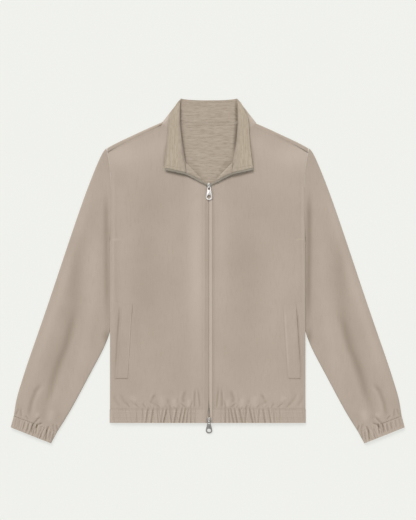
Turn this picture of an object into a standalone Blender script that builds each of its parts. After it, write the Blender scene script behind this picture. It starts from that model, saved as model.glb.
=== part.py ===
"""A light zip-front bomber jacket, lying flat on its back.

Blender 4.5, metres, +Z up. The garment lies in the XY plane with its hem towards -Y and its
collar towards +Y; the floor is z = 0. Left and right are the wearer's, so left is +X.
All sizes below are millimetres and turned to metres when a mesh is made.

Every cloth piece is a grid of points on its outer face, worked out from the jacket's sizes,
with a second grid one cloth thickness further in and a rim that joins the two.
"""

import math

import bmesh
import bpy
import numpy as np

MM = 0.001
SIDES = {"left": 1, "right": -1}

# ---------------------------------------------------------------- driving sizes (mm)
SEAM_GAP = 0.3
CLOTH = 1.0            # shell cloth, drawn at the least wall a solid may have
JERSEY = 1.0           # lining and inner collar
BAND = 2.2             # hem and cuff: cloth doubled over an elastic

HALF_WIDTH = 223.0     # centre of the body to the folded side
HEM_Y = -345.0
HEM_BAND = 30.5        # depth of the elasticated hem
HEM_SEAM_Y = HEM_Y + HEM_BAND
CENTRE_X = 3.0         # zip and collar lie a little off the middle, as worn cloth does

CROWN = 5.8            # height of the front over the floor, mid panel
SIDE_HEIGHT = 6.2      # the same beside the folded side
SIDE_LIFT = 1.8        # added where the side lies on the sleeve
ARMHOLE_DIP = 0.6      # the armhole's seam lies this much lower than the panels beside it
COLLAR_BED = 6.0       # height of the front under the turned-back collar
HEM_HEIGHT = 6.4
SHOULDER_RADIUS = 3.0  # the back turns over the shoulder on this radius
UNDER_SEAM = 26.0      # the front turns under the side this far, to the side seam
SIDE_TURN = 22.0       # the front starts to turn down this far inside its folded side
PIT_RADIUS = 2.1       # round of the sleeve's fold under the armpit
PIT_DROP = 4.0         # that fold lies this far above the armpit
PIT_SLANT = 0.6        # sine of the front's slant at its edge there
PIT_STRETCH = 2.5      # the armhole meets that fold at a slant, so it is this much longer there

ARMPIT_Y = 72.0
WRAP_END_Y = 52.0      # below this the front is folded right round the side
TUCK_END_Y = -150.0    # above this the sleeve is tucked under the body

NECK_SEAM_Y = 336.0
BREAK_Y = 197.0        # the zip is open above this

LIP_WIDTH = 9.0        # folded edge that covers the zip
LIP_GAP = 0.9          # from the zip's centre to each lip
CHAIN_WIDTH = 22.0
CHAIN_DEPTH = 1.4

# Silhouette of the shoulder, from the collar to the head of the sleeve.
SHOULDER = np.array([
    # x      y
    (101.0, 339.4),
    (135.3, 324.6),
    (173.9, 306.5),
    (212.5, 288.3),
    (228.4, 279.2),
])

# How far the back comes over on to the front, along the shoulder.
SHOULDER_STRIP = np.array([
    # x      strip
    (101.0, 3.0),
    (228.4, 7.0),
])

# Edge of the body at the armhole, from the armpit to the shoulder.
ARMHOLE = np.array([
    # y      front_x  back_x
    (52.0, 221.0, 196.0),
    (72.0, 220.4, 208.0),
    (100.0, 219.8, 214.0),
    (150.0, 219.4, 217.0),
    (215.0, 219.6, 219.0),
    (245.0, 222.6, 222.6),
    (267.2, 227.4, 228.4),
])

# Inner edge of the front from the zip to the shoulder: the roll of the lapel, then the neck seam.
NECKLINE = np.array([
    # y      from_centre
    (186.0, 1.0),
    (197.0, 8.5),
    (214.0, 25.5),
    (228.5, 41.0),
    (241.0, 54.0),
    (255.4, 62.5),
    (272.0, 68.0),
    (290.6, 74.8),
    (311.0, 83.2),
    (322.0, 91.5),
    (329.0, 97.6),
])

# Soft troughs (depth > 0) and ridges (depth < 0) of the fronts.
FRONT_FOLDS = np.array([
    # x0     y0      x1     y1     width  depth
    (112.0, 150.0, 128.0, -120.0, 26.0, 1.1),
    (130.0, -60.0, 104.0, -270.0, 22.0, 0.8),
    (60.0, 150.0, 52.0, -240.0, 24.0, -0.4),
    (178.0, 120.0, 186.0, -160.0, 18.0, -0.4),
    (70.0, 40.0, 84.0, -200.0, 14.0, 0.6),
    (150.0, 245.0, 205.0, 190.0, 16.0, 0.7),
    (165.0, -30.0, 150.0, -140.0, 12.0, 0.6),
    (190.0, 250.0, 120.0, 262.0, 14.0, -0.3),
])

# Sections across a sleeve, from the armhole to the cuff: where the section meets the outer and
# the inner edge, how high each folded edge stands and how far the cloth rises between them.
SLEEVE_SECTIONS = np.array([
    # outer_x outer_y inner_x inner_y outer_fold inner_fold crown
    (239.0, 272.5, 222.6, 70.0, 5.6, 4.2, 0.2),
    (251.0, 247.0, 221.6, 52.0, 5.4, 4.2, 0.6),
    (264.6, 211.0, 218.0, 34.0, 5.4, 4.2, 0.8),
    (283.6, 160.0, 213.5, 8.0, 5.4, 4.2, 1.0),
    (307.6, 90.0, 211.0, -40.0, 5.4, 4.2, 1.0),
    (332.5, 16.0, 213.0, -104.0, 5.4, 4.4, 1.0),
    (358.5, -62.0, 231.5, -166.0, 5.4, 4.8, 0.8),
    (386.0, -142.0, 257.0, -215.0, 5.4, 5.2, 0.8),
    (410.5, -212.0, 283.5, -265.0, 5.4, 5.2, 0.8),
    (429.0, -271.0, 311.0, -316.0, 5.6, 5.4, 1.0),
    (438.8, -306.0, 330.5, -348.5, 6.0, 6.0, 0.8),
    (440.6, -328.4, 342.0, -366.0, 6.2, 6.2, 0.4),
])

SLEEVE_FOLDS = np.array([
    # x0     y0      x1     y1     width  depth
    (262.0, 60.0, 312.0, -95.0, 15.0, 1.0),
    (318.0, -70.0, 356.0, -250.0, 15.0, 1.4),
    (352.0, -215.0, 382.0, -318.0, 11.0, 1.2),
    (398.0, -235.0, 405.0, -318.0, 10.0, 1.0),
    (246.0, 215.0, 240.0, 120.0, 9.0, 0.7),
    (300.0, 60.0, 338.0, -60.0, 14.0, -0.4),
])

CUFF_BOTTOM = {"outer": (447.6, -354.6), "inner": (355.6, -391.2)}
CUFF_FOLD = 6.8
CUFF_CROWN = 0.5
CUFF_GATHERS = 11
HEM_GATHERS = 19
GATHER_DEPTH = 1.5
GATHER_LEAN = 2.8      # the hem's gathers lean this far along it, some one way and some the other
HEM_FLAT = 21.0        # ungathered end of the hem beside the zip

# The collar stands on the neck seam, rolls at its side and turns outwards. Sections run from
# the zip to the middle of the back; x is measured from the collar's centre. Where the radius is
# 0 the collar isn't rolled there, and the second point is only its middle.
COLLAR_SECTIONS = np.array([
    # seam: x, y, z          roll: x, y, z           free edge: x, y, z       radius
    (54.4, 223.9, 7.9, 52.4, 224.0, 9.4, 99.4, 234.2, 10.8, 1.4),
    (55.8, 242.6, 7.7, 54.2, 243.2, 9.3, 97.8, 249.5, 10.2, 1.6),
    (59.0, 255.5, 6.3, 56.0, 257.5, 8.1, 95.6, 265.5, 9.4, 2.0),
    (66.0, 270.5, 5.5, 57.6, 273.5, 7.3, 93.4, 282.0, 9.0, 2.6),
    (73.0, 290.5, 5.0, 60.6, 291.5, 6.9, 92.0, 299.0, 8.8, 2.8),
    (82.4, 311.0, 4.7, 63.4, 310.5, 6.9, 91.4, 316.0, 8.6, 2.8),
    (91.6, 323.5, 4.5, 65.2, 329.0, 6.7, 90.6, 333.0, 8.4, 2.7),
    (97.8, 330.4, 4.6, 65.8, 348.0, 7.0, 88.6, 351.0, 8.6, 2.4),
    (100.8, 333.6, 4.6, 65.6, 365.0, 6.9, 79.4, 370.6, 8.2, 2.2),
    (102.6, 336.2, 4.8, 66.4, 372.5, 6.4, 71.4, 382.6, 7.4, 1.5),
    (103.8, 338.8, 3.1, 70.4, 381.4, 3.6, 62.6, 391.0, 4.3, 0.0),
    (101.0, 337.5, 1.5, 66.0, 379.4, 1.5, 58.0, 390.5, 2.0, 0.0),
    (90.0, 337.2, 1.3, 62.0, 372.0, 1.35, 50.0, 389.5, 1.55, 0.0),
    (60.0, 336.6, 1.25, 45.0, 364.0, 1.3, 33.0, 388.2, 1.4, 0.0),
    (28.0, 336.6, 1.25, 21.0, 362.5, 1.3, 16.0, 387.8, 1.35, 0.0),
])

# The top corner of the front, turned back with the collar.
LAPEL_SECTIONS = np.array([
    # under edge: x, y, z    roll: x, y, z           zip edge: x, y, z
    (53.2, 248.6, 7.7, 52.0, 246.4, 9.1, 49.6, 223.0, 10.1),
    (46.4, 239.0, 7.5, 44.4, 237.8, 8.8, 40.6, 218.6, 9.8),
    (36.0, 227.0, 7.4, 33.8, 226.4, 8.6, 30.0, 213.2, 9.5),
    (22.0, 212.4, 7.4, 19.8, 212.2, 8.4, 18.2, 206.4, 9.2),
])
LAPEL = 1.1            # shell and facing together
TAPE_WIDTH = 4.6
TAPE_DEPTH = 1.3

LINING_HALF = 96.0
LINING_END_Y = 132.0

WELT = 1.0
POCKET = {"top_y": -76.0, "bottom_y": -243.0, "width": 29.0}
POCKET_EDGE = (200.0, 211.0)   # from the centre to the pocket's mouth, at its top and bottom
WELT_CLEARANCE = 0.65  # the welt lies this far off the front, whose surface it follows
LIP_THICK = 0.45       # at the lip's two edges; it is padded out between them

PULL_LENGTH = 30.0
PULL_THICK = 1.6
PULL_EYE = {"width": 4.4, "length": 6.4, "rail": 1.8}
PULL_RING = {"radius": 7.5, "hole": 4.6}
BAR_RADIUS = 0.9
SLIDER = {"length": 12.0, "wide": 9.0, "narrow": 7.4, "height": 3.0, "axis": 2.2}
SLIDER_BELOW = 3.2     # body beyond the hinge, on the side the pull lies
BRIDGE = {"inner": 1.7, "thick": 1.4, "width": 1.7}

SLIDER_TOP_Y = 190.5
SLIDER_BOTTOM_Y = -341.0
SLIDER_BASE = {"top": 6.5, "bottom": 6.9}      # height of its underside
PULL_REST_TILT = {"top": 6.0, "bottom": 21.0}  # degrees below level


# ---------------------------------------------------------------- small tools
def smooth(low, high, value):
    """0 below low, 1 above high, and an even ramp between them."""
    t = np.clip((np.asarray(value, float) - low) / (high - low), 0.0, 1.0)
    return t * t * (3 - 2 * t)


def through(knots, values, at):
    """A smooth curve through a table's rows (cubic Hermite), read at the places asked for."""
    knots = np.asarray(knots, float)
    values = np.asarray(values, float)
    slopes = np.gradient(values, knots, axis=0)
    at = np.clip(np.asarray(at, float), knots[0], knots[-1])
    i = np.clip(np.searchsorted(knots, at, side="right") - 1, 0, len(knots) - 2)
    span = knots[i + 1] - knots[i]
    t = (at - knots[i]) / span
    if values.ndim > 1:
        t, span = t[..., None], span[..., None]
    return (
        (2 * t**3 - 3 * t**2 + 1) * values[i]
        + (t**3 - 2 * t**2 + t) * span * slopes[i]
        + (3 * t**2 - 2 * t**3) * values[i + 1]
        + (t**3 - t**2) * span * slopes[i + 1]
    )


def path_through(points, shares):
    """Points at the given shares of the length of a smooth path through a few points."""
    points = np.asarray(points, float)
    knots = np.concatenate([[0.0], np.cumsum(np.linalg.norm(np.diff(points, axis=0), axis=1))])
    return through(knots, points, np.asarray(shares) * knots[-1])


def fold_relief(x, y, folds):
    """Height that a table of soft troughs and ridges takes away at a point."""
    relief = np.zeros(np.broadcast(x, y).shape)
    for x0, y0, x1, y1, width, depth in folds:
        along_x, along_y = x1 - x0, y1 - y0
        length = math.hypot(along_x, along_y)
        along = ((x - x0) * along_x + (y - y0) * along_y) / length**2
        across = ((x - x0) * along_y - (y - y0) * along_x) / length
        ends = smooth(-0.25, 0.25, along) * (1 - smooth(0.75, 1.25, along))
        relief = relief + depth * ends * np.exp(-((across / width) ** 2))
    return relief


def gather_profile(count, length, seed):
    """Places along a gathered edge and the height (0 to 1) of the ruck there.

    Each gather is a rounded ridge between two sharp valleys. Their widths and heights vary.
    """
    number = np.arange(count)
    widths = 1 + 0.26 * np.sin(2.3 * number + seed) + 0.14 * np.sin(5.1 * number + 2 * seed)
    starts = np.concatenate([[0.0], np.cumsum(widths)]) / widths.sum()
    heights = 0.72 + 0.28 * np.sin(1.7 * number + 3 * seed)
    places, rise = [], []
    for i in range(count):
        for share, ridge in ((0.0, 0.0), (0.2, 0.72), (0.5, 1.0), (0.8, 0.72)):
            places.append(starts[i] + share * (starts[i + 1] - starts[i]))
            rise.append(ridge * heights[i])
    places.append(1.0)
    rise.append(0.0)
    return np.array(places) * length, np.array(rise)


def normals_of(grid, loop=False):
    """Unit normals of a grid of points, by the rule rows x columns."""
    down = np.gradient(grid, axis=0)
    if loop:
        over = (np.roll(grid, -1, axis=1) - np.roll(grid, 1, axis=1)) / 2
    else:
        over = np.gradient(grid, axis=1)
    normal = np.cross(over, down)
    return normal / np.linalg.norm(normal, axis=2, keepdims=True)


def section_normals(grid):
    """Unit normals of a strip made of sections, each square to its own section's run."""
    run = np.gradient(grid.mean(axis=1), axis=0)[:, None, :]
    normal = np.cross(np.gradient(grid, axis=1), run)
    return normal / np.linalg.norm(normal, axis=2, keepdims=True)


def inside_of(grid, thickness, outward=1, loop=False):
    """The grid moved in by the cloth's thickness. outward says which way the normals point."""
    return grid - outward * thickness * normals_of(grid, loop)


def material(name, colour, roughness, metallic=0.0):
    made = bpy.data.materials.new(name)
    made.use_nodes = True
    shader = made.node_tree.nodes["Principled BSDF"]
    shader.inputs["Base Color"].default_value = (*colour, 1.0)
    shader.inputs["Roughness"].default_value = roughness
    shader.inputs["Metallic"].default_value = metallic
    made.diffuse_color = (*colour, 1.0)
    return made


def add_object(name, mesh, finish):
    mesh.materials.append(finish)
    placed = bpy.data.objects.new(name, mesh)
    bpy.context.scene.collection.objects.link(placed)
    return placed


def wall(name, outside, inside, finish, loop=False):
    """A closed solid between two grids of points. With loop, the columns close into a tube."""
    rows, columns = outside.shape[:2]
    work = bmesh.new()
    shell = [
        [[work.verts.new(point * MM) for point in row] for row in grid]
        for grid in (outside, inside)
    ]
    wrap = columns if loop else columns - 1
    for grid in shell:
        for r in range(rows - 1):
            for c in range(wrap):
                n = (c + 1) % columns
                work.faces.new((grid[r][c], grid[r][n], grid[r + 1][n], grid[r + 1][c]))
    out, into = shell
    for r in (0, rows - 1):
        for c in range(wrap):
            n = (c + 1) % columns
            work.faces.new((out[r][c], out[r][n], into[r][n], into[r][c]))
    if not loop:
        for c in (0, columns - 1):
            for r in range(rows - 1):
                work.faces.new((out[r][c], out[r + 1][c], into[r + 1][c], into[r][c]))
    bmesh.ops.recalc_face_normals(work, faces=work.faces)
    mesh = bpy.data.meshes.new(name)
    work.to_mesh(mesh)
    work.free()
    mesh.shade_smooth()
    mesh.set_sharp_from_angle(angle=math.radians(50))
    return add_object(name, mesh, finish)


def mirrored(grid, side):
    """The same grid for the other side of the body."""
    return grid * np.array([side, 1.0, 1.0])


# ---------------------------------------------------------------- body
def shoulder_top(x):
    """Y of the shoulder's silhouette."""
    return through(SHOULDER[:, 0], SHOULDER[:, 1], np.abs(x))


NECK_CORNER = (103.6, 107.6)  # the shoulder's turn begins between these, from the collar's centre


def shoulder_turn(x):
    """How much of the shoulder's turn there is: none behind the neck."""
    return smooth(*NECK_CORNER, np.abs(np.asarray(x) - CENTRE_X))


def shoulder_seam_y(x):
    strip = np.interp(np.abs(x), SHOULDER_STRIP[:, 0], SHOULDER_STRIP[:, 1])
    return shoulder_top(x) - SHOULDER_RADIUS - strip


def front_height(x, y):
    """Height of the fronts' outer face over the floor. x is measured from the body's middle."""
    across = np.clip(np.abs(x) / HALF_WIDTH, 0, 1)
    height = SIDE_HEIGHT + (CROWN - SIDE_HEIGHT) * (1 - across**4)
    height = height - fold_relief(np.abs(x), y, FRONT_FOLDS)
    to_hem = smooth(HEM_SEAM_Y, HEM_SEAM_Y + 70, y)
    height = HEM_HEIGHT + (height - HEM_HEIGHT) * to_hem
    shoulder = shoulder_seam_y(x) - y
    at_shoulder = 2 * SHOULDER_RADIUS + 0.4
    height = at_shoulder + (height - at_shoulder) * smooth(0, 60, shoulder)
    flat = smooth(BREAK_Y - 60, BREAK_Y, y) * (1 - smooth(95, 125, np.abs(x)))
    return height + (COLLAR_BED - height) * flat * smooth(0, 60, shoulder)


def side_path(y, share, inset=0.0):
    """The cloth's way round the folded side: over the top, round the fold and under it.

    Where the sleeve is tucked under the body the fold stands up on it, and lower down it lies
    on the floor. Returns x and z for shares 0 to 1 of the way, moved in by inset.
    """
    lift = smooth(TUCK_END_Y - 72, TUCK_END_Y - 22, y)
    w = HALF_WIDTH
    top = front_height(w - SIDE_TURN, y)
    lying = [(w - SIDE_TURN, top), (w - 7, top - 0.5), (w - 1.2, top * 0.74), (w, top * 0.46),
             (w - 1.6, top * 0.12), (w - 7, 0.0), (w - UNDER_SEAM, 0.0)]
    top = top + SIDE_LIFT * smooth(0.0, 1.0, lift)
    tucked = [(w - SIDE_TURN, top), (w - 7, top - 0.1), (w - 1.4, top - 0.7), (w, top - 1.5),
              (w - 1.6, top - 2.4), (w - 11, top - 2.9), (w - UNDER_SEAM, 0.0)]
    points = (1 - lift) * np.array(lying) + lift * np.array(tucked)
    share = np.asarray(share, float)
    path = path_through(points, share)
    step = path_through(points, share + 0.01) - path_through(points, share - 0.01)
    step = step / np.linalg.norm(step, axis=1, keepdims=True)
    path = path + inset * np.column_stack([step[:, 1], -step[:, 0]])
    path[share >= 1] = (w - UNDER_SEAM, inset)
    return path[:, 0], np.maximum(path[:, 1], 0.0)


FRONT_ROWS = np.array([
    HEM_SEAM_Y, -296, -264, -222, -180, -140, -98, -56, -14, 24, WRAP_END_Y, 58, 63, 66.5, 69,
    70.7, ARMPIT_Y, 106, 142, 172, 186, 197, 212, 227, 242, 255, 267.2, 282, 298, 313, 329,
])
FRONT_COLUMNS = 10
SIDE_FOLDED = np.array([0, 0.16, 0.3, 0.42, 0.52, 0.66, 0.82, 1.0])
SIDE_OPEN = np.array([0, 0.16, 0.28, 0.384, 0.388, 0.392, 0.396, 0.4])


def front_row(y, side, inset):
    """Points of a front along one row, from the zip to the side seam or the armhole."""
    if y < NECKLINE[0, 0]:
        start = CENTRE_X * side + LIP_GAP + SEAM_GAP
    else:
        start = CENTRE_X * side + np.interp(y, NECKLINE[:, 0], NECKLINE[:, 1])
    corner_y = shoulder_seam_y(SHOULDER[-1, 0])
    if y > corner_y:
        ends = np.linspace(SHOULDER[0, 0], SHOULDER[-1, 0], 60)
        end = np.interp(-y, -shoulder_seam_y(ends) + 3 * SEAM_GAP, ends)
        end = max(end, start + 5.0)
    else:
        end = np.interp(y, ARMHOLE[:, 0], ARMHOLE[:, 1])
    if y >= ARMPIT_Y:
        last = min(SIDE_TURN, 0.4 * (end - start))
        x = np.concatenate([
            np.linspace(start, end - last, FRONT_COLUMNS),
            end - last + last * SIDE_OPEN[1:] / SIDE_OPEN[-1],
        ])
        z = front_height(x, y)
        near_edge = 1 - smooth(0, 12, end - x)
        z = z + SIDE_LIFT * near_edge * (1 - smooth(ARMPIT_Y, 150, y))
        sunk = smooth(ARMPIT_Y, 130, y) * (1 - smooth(corner_y - 60, corner_y, y))
        z = z - ARMHOLE_DIP * near_edge * sunk
        slant = PIT_SLANT * near_edge * (1 - smooth(ARMPIT_Y, 106, y))
        x, z = x - inset * slant, z - inset * np.sqrt(1 - slant**2)
        return np.stack([x, np.full_like(x, y), z], axis=1)
    wrapped = 1 - smooth(WRAP_END_Y, ARMPIT_Y, y)
    shares = SIDE_OPEN + wrapped * (SIDE_FOLDED - SIDE_OPEN)
    round_x, round_z = side_path(y, shares, inset)
    top_x = np.linspace(start, HALF_WIDTH - SIDE_TURN, FRONT_COLUMNS)
    x = np.concatenate([top_x, round_x[1:]])
    z = np.concatenate([front_height(top_x, y) - inset, round_z[1:]])
    return np.stack([x, np.full_like(x, y), z], axis=1)


def make_front(name, side, finish):
    """A front, worked out for a body whose side is +X and then put on its own side."""
    outside, inside = (
        np.array([front_row(y, side, inset) for y in FRONT_ROWS]) for inset in (0.0, CLOTH)
    )
    return wall(name, mirrored(outside, side), mirrored(inside, side), finish)


def back_edge(y):
    """Half the width of the back at a height: its side seam, then its armhole."""
    return np.interp(y, ARMHOLE[:, 0], ARMHOLE[:, 2], left=HALF_WIDTH - UNDER_SEAM)


BACK_SHARES = np.array([-1, -0.9, -0.78, -0.64, -0.53, -0.4586, -0.45, -0.441, -0.3, -0.1,
                        0.1, 0.3, 0.4673, 0.476, 0.4849, 0.53, 0.64, 0.78, 0.9, 1])
BACK_ROWS = (240, 200, 160, 125, 98, ARMPIT_Y, WRAP_END_Y, 15, -150, HEM_SEAM_Y)
TURN_SHARES = (1.0, 0.75, 0.5, 0.25, 0.0)  # round the shoulder, from the front to the floor
SHOULDER_FLAT = 9.0    # length on the floor before the back turns up over the shoulder


def shoulder_rows(x, inset):
    """The back's way over the shoulder at one place: y and z, from its seam to the floor.

    The path runs along the floor, round the shoulder and on to the front. Behind the neck it
    is cut off at the neck seam, before it turns.
    """
    top, radius = float(shoulder_top(x)), SHOULDER_RADIUS
    bend_y, half_turn = top - radius, math.pi * radius
    full = SHOULDER_FLAT + half_turn + bend_y - float(shoulder_seam_y(x))
    short = min(NECK_SEAM_Y, bend_y) - (bend_y - SHOULDER_FLAT)
    reach = short + (full - short) * float(shoulder_turn(x))
    lengths = [full] + [SHOULDER_FLAT + half_turn * share for share in TURN_SHARES] + [0.0]
    rows = []
    for length in np.array(lengths) * reach / full:
        beyond = length - SHOULDER_FLAT
        angle = min(max(beyond / radius, 0.0), math.pi)
        y = bend_y + (radius - inset) * math.sin(angle)
        y += min(beyond, 0.0) - max(beyond - half_turn, 0.0)
        rows.append((y, radius - (radius - inset) * math.cos(angle)))
    return rows


def back_grid(inset):
    columns = []
    for share in BACK_SHARES:
        top_x = share * (SHOULDER[-1, 0] - SEAM_GAP)
        column = [(top_x, y, z) for y, z in shoulder_rows(top_x, inset)]
        column += [(share * (back_edge(y) - SEAM_GAP), y, inset) for y in BACK_ROWS]
        columns.append(column)
    return np.array(columns).transpose(1, 0, 2)


def make_back(finish):
    """The back lies flat and turns over the shoulders on to the front."""
    return wall("back", back_grid(0.0), back_grid(CLOTH), finish)


# ---------------------------------------------------------------- sleeves and cuffs
TOP_POINTS = 10
UNDER_POINTS = 4
LONGEST_STRETCH = 3.5


def fold_stretch(edge_step, across):
    """How much longer a fold is in a section that meets it at a slant than in a square one."""
    sine = abs(edge_step[0] * across[1] - edge_step[1] * across[0])
    sine /= max(np.linalg.norm(edge_step) * np.linalg.norm(across), 1e-9)
    return min(1 / max(sine, 1e-9), LONGEST_STRETCH)


def section_ring(row, stretch_out, stretch_in, inset):
    """One closed section of a sleeve lying flat: up round the outer fold, over, and back under."""
    outer, inner = row[0:2], row[2:4]
    fold_outer, fold_inner, crown = row[4:7]
    length = np.linalg.norm(inner - outer)
    along = (inner - outer) / length
    r_out, r_in = fold_outer / 2, fold_inner / 2
    long_out, long_in = r_out * stretch_out, r_in * stretch_in

    angles = np.radians([225, 180, 135, 90])
    a = list(long_out + (r_out - inset) * stretch_out * np.cos(angles))
    z = list(r_out + (r_out - inset) * np.sin(angles))
    share = np.linspace(0, 1, TOP_POINTS + 2)[1:-1]
    top_a = long_out + share * (length - long_out - long_in)
    place = outer + np.outer(top_a, along)
    rise = fold_outer + share * (fold_inner - fold_outer) + crown * np.sin(math.pi * share) ** 0.8
    rise -= np.sin(math.pi * share) ** 0.5 * fold_relief(place[:, 0], place[:, 1], SLEEVE_FOLDS)
    a += list(top_a)
    z += list(rise - inset)
    angles = np.radians([90, 45, 0, -45])
    a += list(length - long_in + (r_in - inset) * stretch_in * np.cos(angles))
    z += list(r_in + (r_in - inset) * np.sin(angles))
    under = np.linspace(0, 1, UNDER_POINTS)
    a += list(length - long_in - under * (length - long_out - long_in))
    z += [inset] * UNDER_POINTS
    return np.column_stack([outer + np.outer(a, along), z])


def armhole_ring(inset):
    """The sleeve's first ring, along the seam with the front and the back."""
    top_y = shoulder_top(SHOULDER[-1, 0])
    r = SHOULDER_RADIUS
    out = SHOULDER[-1, 0] + 4 * SEAM_GAP
    ring = [
        (out, top_y - r + (r - inset) * math.sin(angle), r + (r - inset) * math.cos(angle))
        for angle in np.radians([135, 90, 45, 0])
    ]
    pit_y = ARMPIT_Y + PIT_DROP + PIT_RADIUS * PIT_STRETCH
    first_y = top_y - r - 3
    for share in np.linspace(0, 1, TOP_POINTS + 2)[1:-1]:
        y = first_y + share * (pit_y - first_y)
        x = np.interp(y, ARMHOLE[:, 0], ARMHOLE[:, 1]) + 3 * SEAM_GAP
        z = front_height(x, min(y, shoulder_seam_y(x))) - ARMHOLE_DIP
        low = 1 - smooth(92, 150, y)
        ring.append((x, y, z + (2 * PIT_RADIUS + 0.6 - z) * low - inset))
    front_x = np.interp(pit_y, ARMHOLE[:, 0], ARMHOLE[:, 1]) + 3 * SEAM_GAP
    back_x = np.interp(pit_y, ARMHOLE[:, 0], ARMHOLE[:, 2]) + 7 * SEAM_GAP
    pit = PIT_RADIUS - inset
    for angle in np.radians([90, 45, 0, -45]):
        round_it = (1 - math.sin(angle)) / (1 + math.sin(math.pi / 4))
        y = pit_y - pit * PIT_STRETCH * math.cos(angle)
        ring.append((front_x + round_it * (back_x - front_x), y,
                     PIT_RADIUS + pit * math.sin(angle)))
    for share in np.linspace(0, 1, UNDER_POINTS):
        y = pit_y + share * (top_y - r - pit_y)
        x = np.interp(y, ARMHOLE[:, 0], ARMHOLE[:, 2]) + 7 * SEAM_GAP
        ring.append((x, y, inset))
    return np.array(ring)


SLEEVE_RINGS = 15


def sleeve_grid(inset):
    """A face of a sleeve, as rings from the armhole to the cuff."""
    table = SLEEVE_SECTIONS
    middles = (table[:, 0:2] + table[:, 2:4]) / 2
    knots = np.concatenate([[0.0], np.cumsum(np.linalg.norm(np.diff(middles, axis=0), axis=1))])
    rows = through(knots, table, np.linspace(0, 1, SLEEVE_RINGS) ** 0.92 * knots[-1])
    steps = np.gradient(rows, axis=0)
    rings = [armhole_ring(inset)]
    for row, step in zip(rows, steps):
        across = row[2:4] - row[0:2]
        stretch_out = fold_stretch(step[0:2], across)
        stretch_in = fold_stretch(step[2:4], across)
        rings.append(section_ring(row, stretch_out, stretch_in, inset))
    return np.array(rings)


def make_sleeve(name, side, finish):
    outside, inside = sleeve_grid(0.0), sleeve_grid(CLOTH)
    return wall(name, mirrored(outside, side), mirrored(inside, side), finish, loop=True)


def cuff_ring(outer, inner, grow):
    """A ring of the gathered cuff. grow scales the rucks, 0 for a plain ring."""
    outer, inner = np.asarray(outer, float), np.asarray(inner, float)
    length = np.linalg.norm(inner - outer)
    along = (inner - outer) / length
    radius = CUFF_FOLD / 2
    flat = length - 2 * radius
    places, rise = gather_profile(CUFF_GATHERS, flat, 0.7)
    a, z = [], []
    for angle in np.radians([240, 210, 180, 150, 120]):
        a.append(radius + radius * math.cos(angle))
        z.append(radius + radius * math.sin(angle))
    share = places / flat
    crown = CUFF_FOLD - GATHER_DEPTH * 0.5 + CUFF_CROWN * np.sin(math.pi * share)
    a += list(radius + places)
    z += list(crown + grow * GATHER_DEPTH * rise)
    for angle in np.radians([60, 30, 0, -30, -60]):
        a.append(length - radius + radius * math.cos(angle))
        z.append(radius + radius * math.sin(angle))
    for share in np.linspace(0, 1, 5):
        a.append(length - radius - share * flat)
        z.append(0.0)
    place = outer + np.outer(np.array(a), along)
    return np.column_stack([place, np.array(z)])


def make_cuff(name, side, finish):
    """The cuff: a short gathered tube a seam's gap beyond the sleeve."""
    last = SLEEVE_SECTIONS[-1]
    outer, inner = np.array(last[0:2]), np.array(last[2:4])
    end_outer, end_inner = np.array(CUFF_BOTTOM["outer"]), np.array(CUFF_BOTTOM["inner"])
    reach = np.linalg.norm(end_outer - outer)
    rings, plain = [], []
    for travel in (2 * SEAM_GAP, reach * 0.5, reach):
        share = travel / reach
        ends = outer + share * (end_outer - outer), inner + share * (end_inner - inner)
        rings.append(cuff_ring(*ends, 1.0))
        plain.append(cuff_ring(*ends, 0.0))
    grid = np.array(rings)
    inside = inside_of(np.array(plain), BAND, loop=True)
    return wall(name, mirrored(grid, side), mirrored(inside, side), finish, loop=True)


# ---------------------------------------------------------------- hem
def hem_front_grid(side, ruck):
    """The front half of the hem from beside the zip, round the side to the side seam."""
    start = CENTRE_X * side + LIP_GAP + SEAM_GAP
    top_end = HALF_WIDTH - SIDE_TURN
    places, rise = gather_profile(HEM_GATHERS, top_end - start - HEM_FLAT, 1.9)
    x_top = np.concatenate([[start, start + HEM_FLAT * 0.5], start + HEM_FLAT + places])
    rise = np.concatenate([[0.0, 0.0], rise])
    rise = rise * (1 - 0.65 * smooth(top_end - 60, top_end, x_top))
    rows = []
    for y in (HEM_SEAM_Y - SEAM_GAP, HEM_Y):
        round_x, round_z = side_path(HEM_SEAM_Y, np.linspace(0, 1, 10))
        x = np.concatenate([x_top, round_x[1:]])
        base = front_height(x_top, HEM_SEAM_Y)
        z = np.concatenate([base + ruck * GATHER_DEPTH * (rise - 0.35 * (rise > 0)), round_z[1:]])
        gathered = smooth(0, 15, x_top - start - HEM_FLAT) * (1 - smooth(-25, 0, x_top - top_end))
        lean = GATHER_LEAN * gathered * np.sin(x_top * 0.11) * (HEM_SEAM_Y - y) / HEM_BAND
        x = x + np.concatenate([lean, np.zeros(9)])
        rows.append(np.stack([x, np.full_like(x, y), z], axis=1))
    return np.array(rows)


def make_hem_front(name, side, finish):
    grid = hem_front_grid(side, 1.0)
    plain = hem_front_grid(side, 0.0)
    plain[:, 2:len(plain[0]) - 9, 2] -= GATHER_DEPTH * 0.35
    inside = inside_of(plain, BAND, outward=-1)
    inside[:, :, 2] = np.maximum(inside[:, :, 2], 0.0)
    return wall(name, mirrored(grid, side), mirrored(inside, side), finish)


def make_hem_back(finish):
    reach = HALF_WIDTH - UNDER_SEAM - SEAM_GAP
    x = np.linspace(-reach, reach, 9)
    y = np.array([HEM_Y, HEM_SEAM_Y - SEAM_GAP])
    under = np.array([[(px, py, 0.0) for px in x] for py in y])
    return wall("hem_back", under, under + (0, 0, BAND), finish)


# ---------------------------------------------------------------- collar and lapels
LAPEL_STEPS = np.array([0, 0.1, 0.2, 0.35, 0.6, 0.8, 1.0])


ROLL_TOP = 7           # place in a collar section where the roll is highest
RUN_OUT = 9            # section where the collar's roll runs out
RUN_OUT_PARTING = 0.2  # the collar's two layers are parted sideways there


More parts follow.
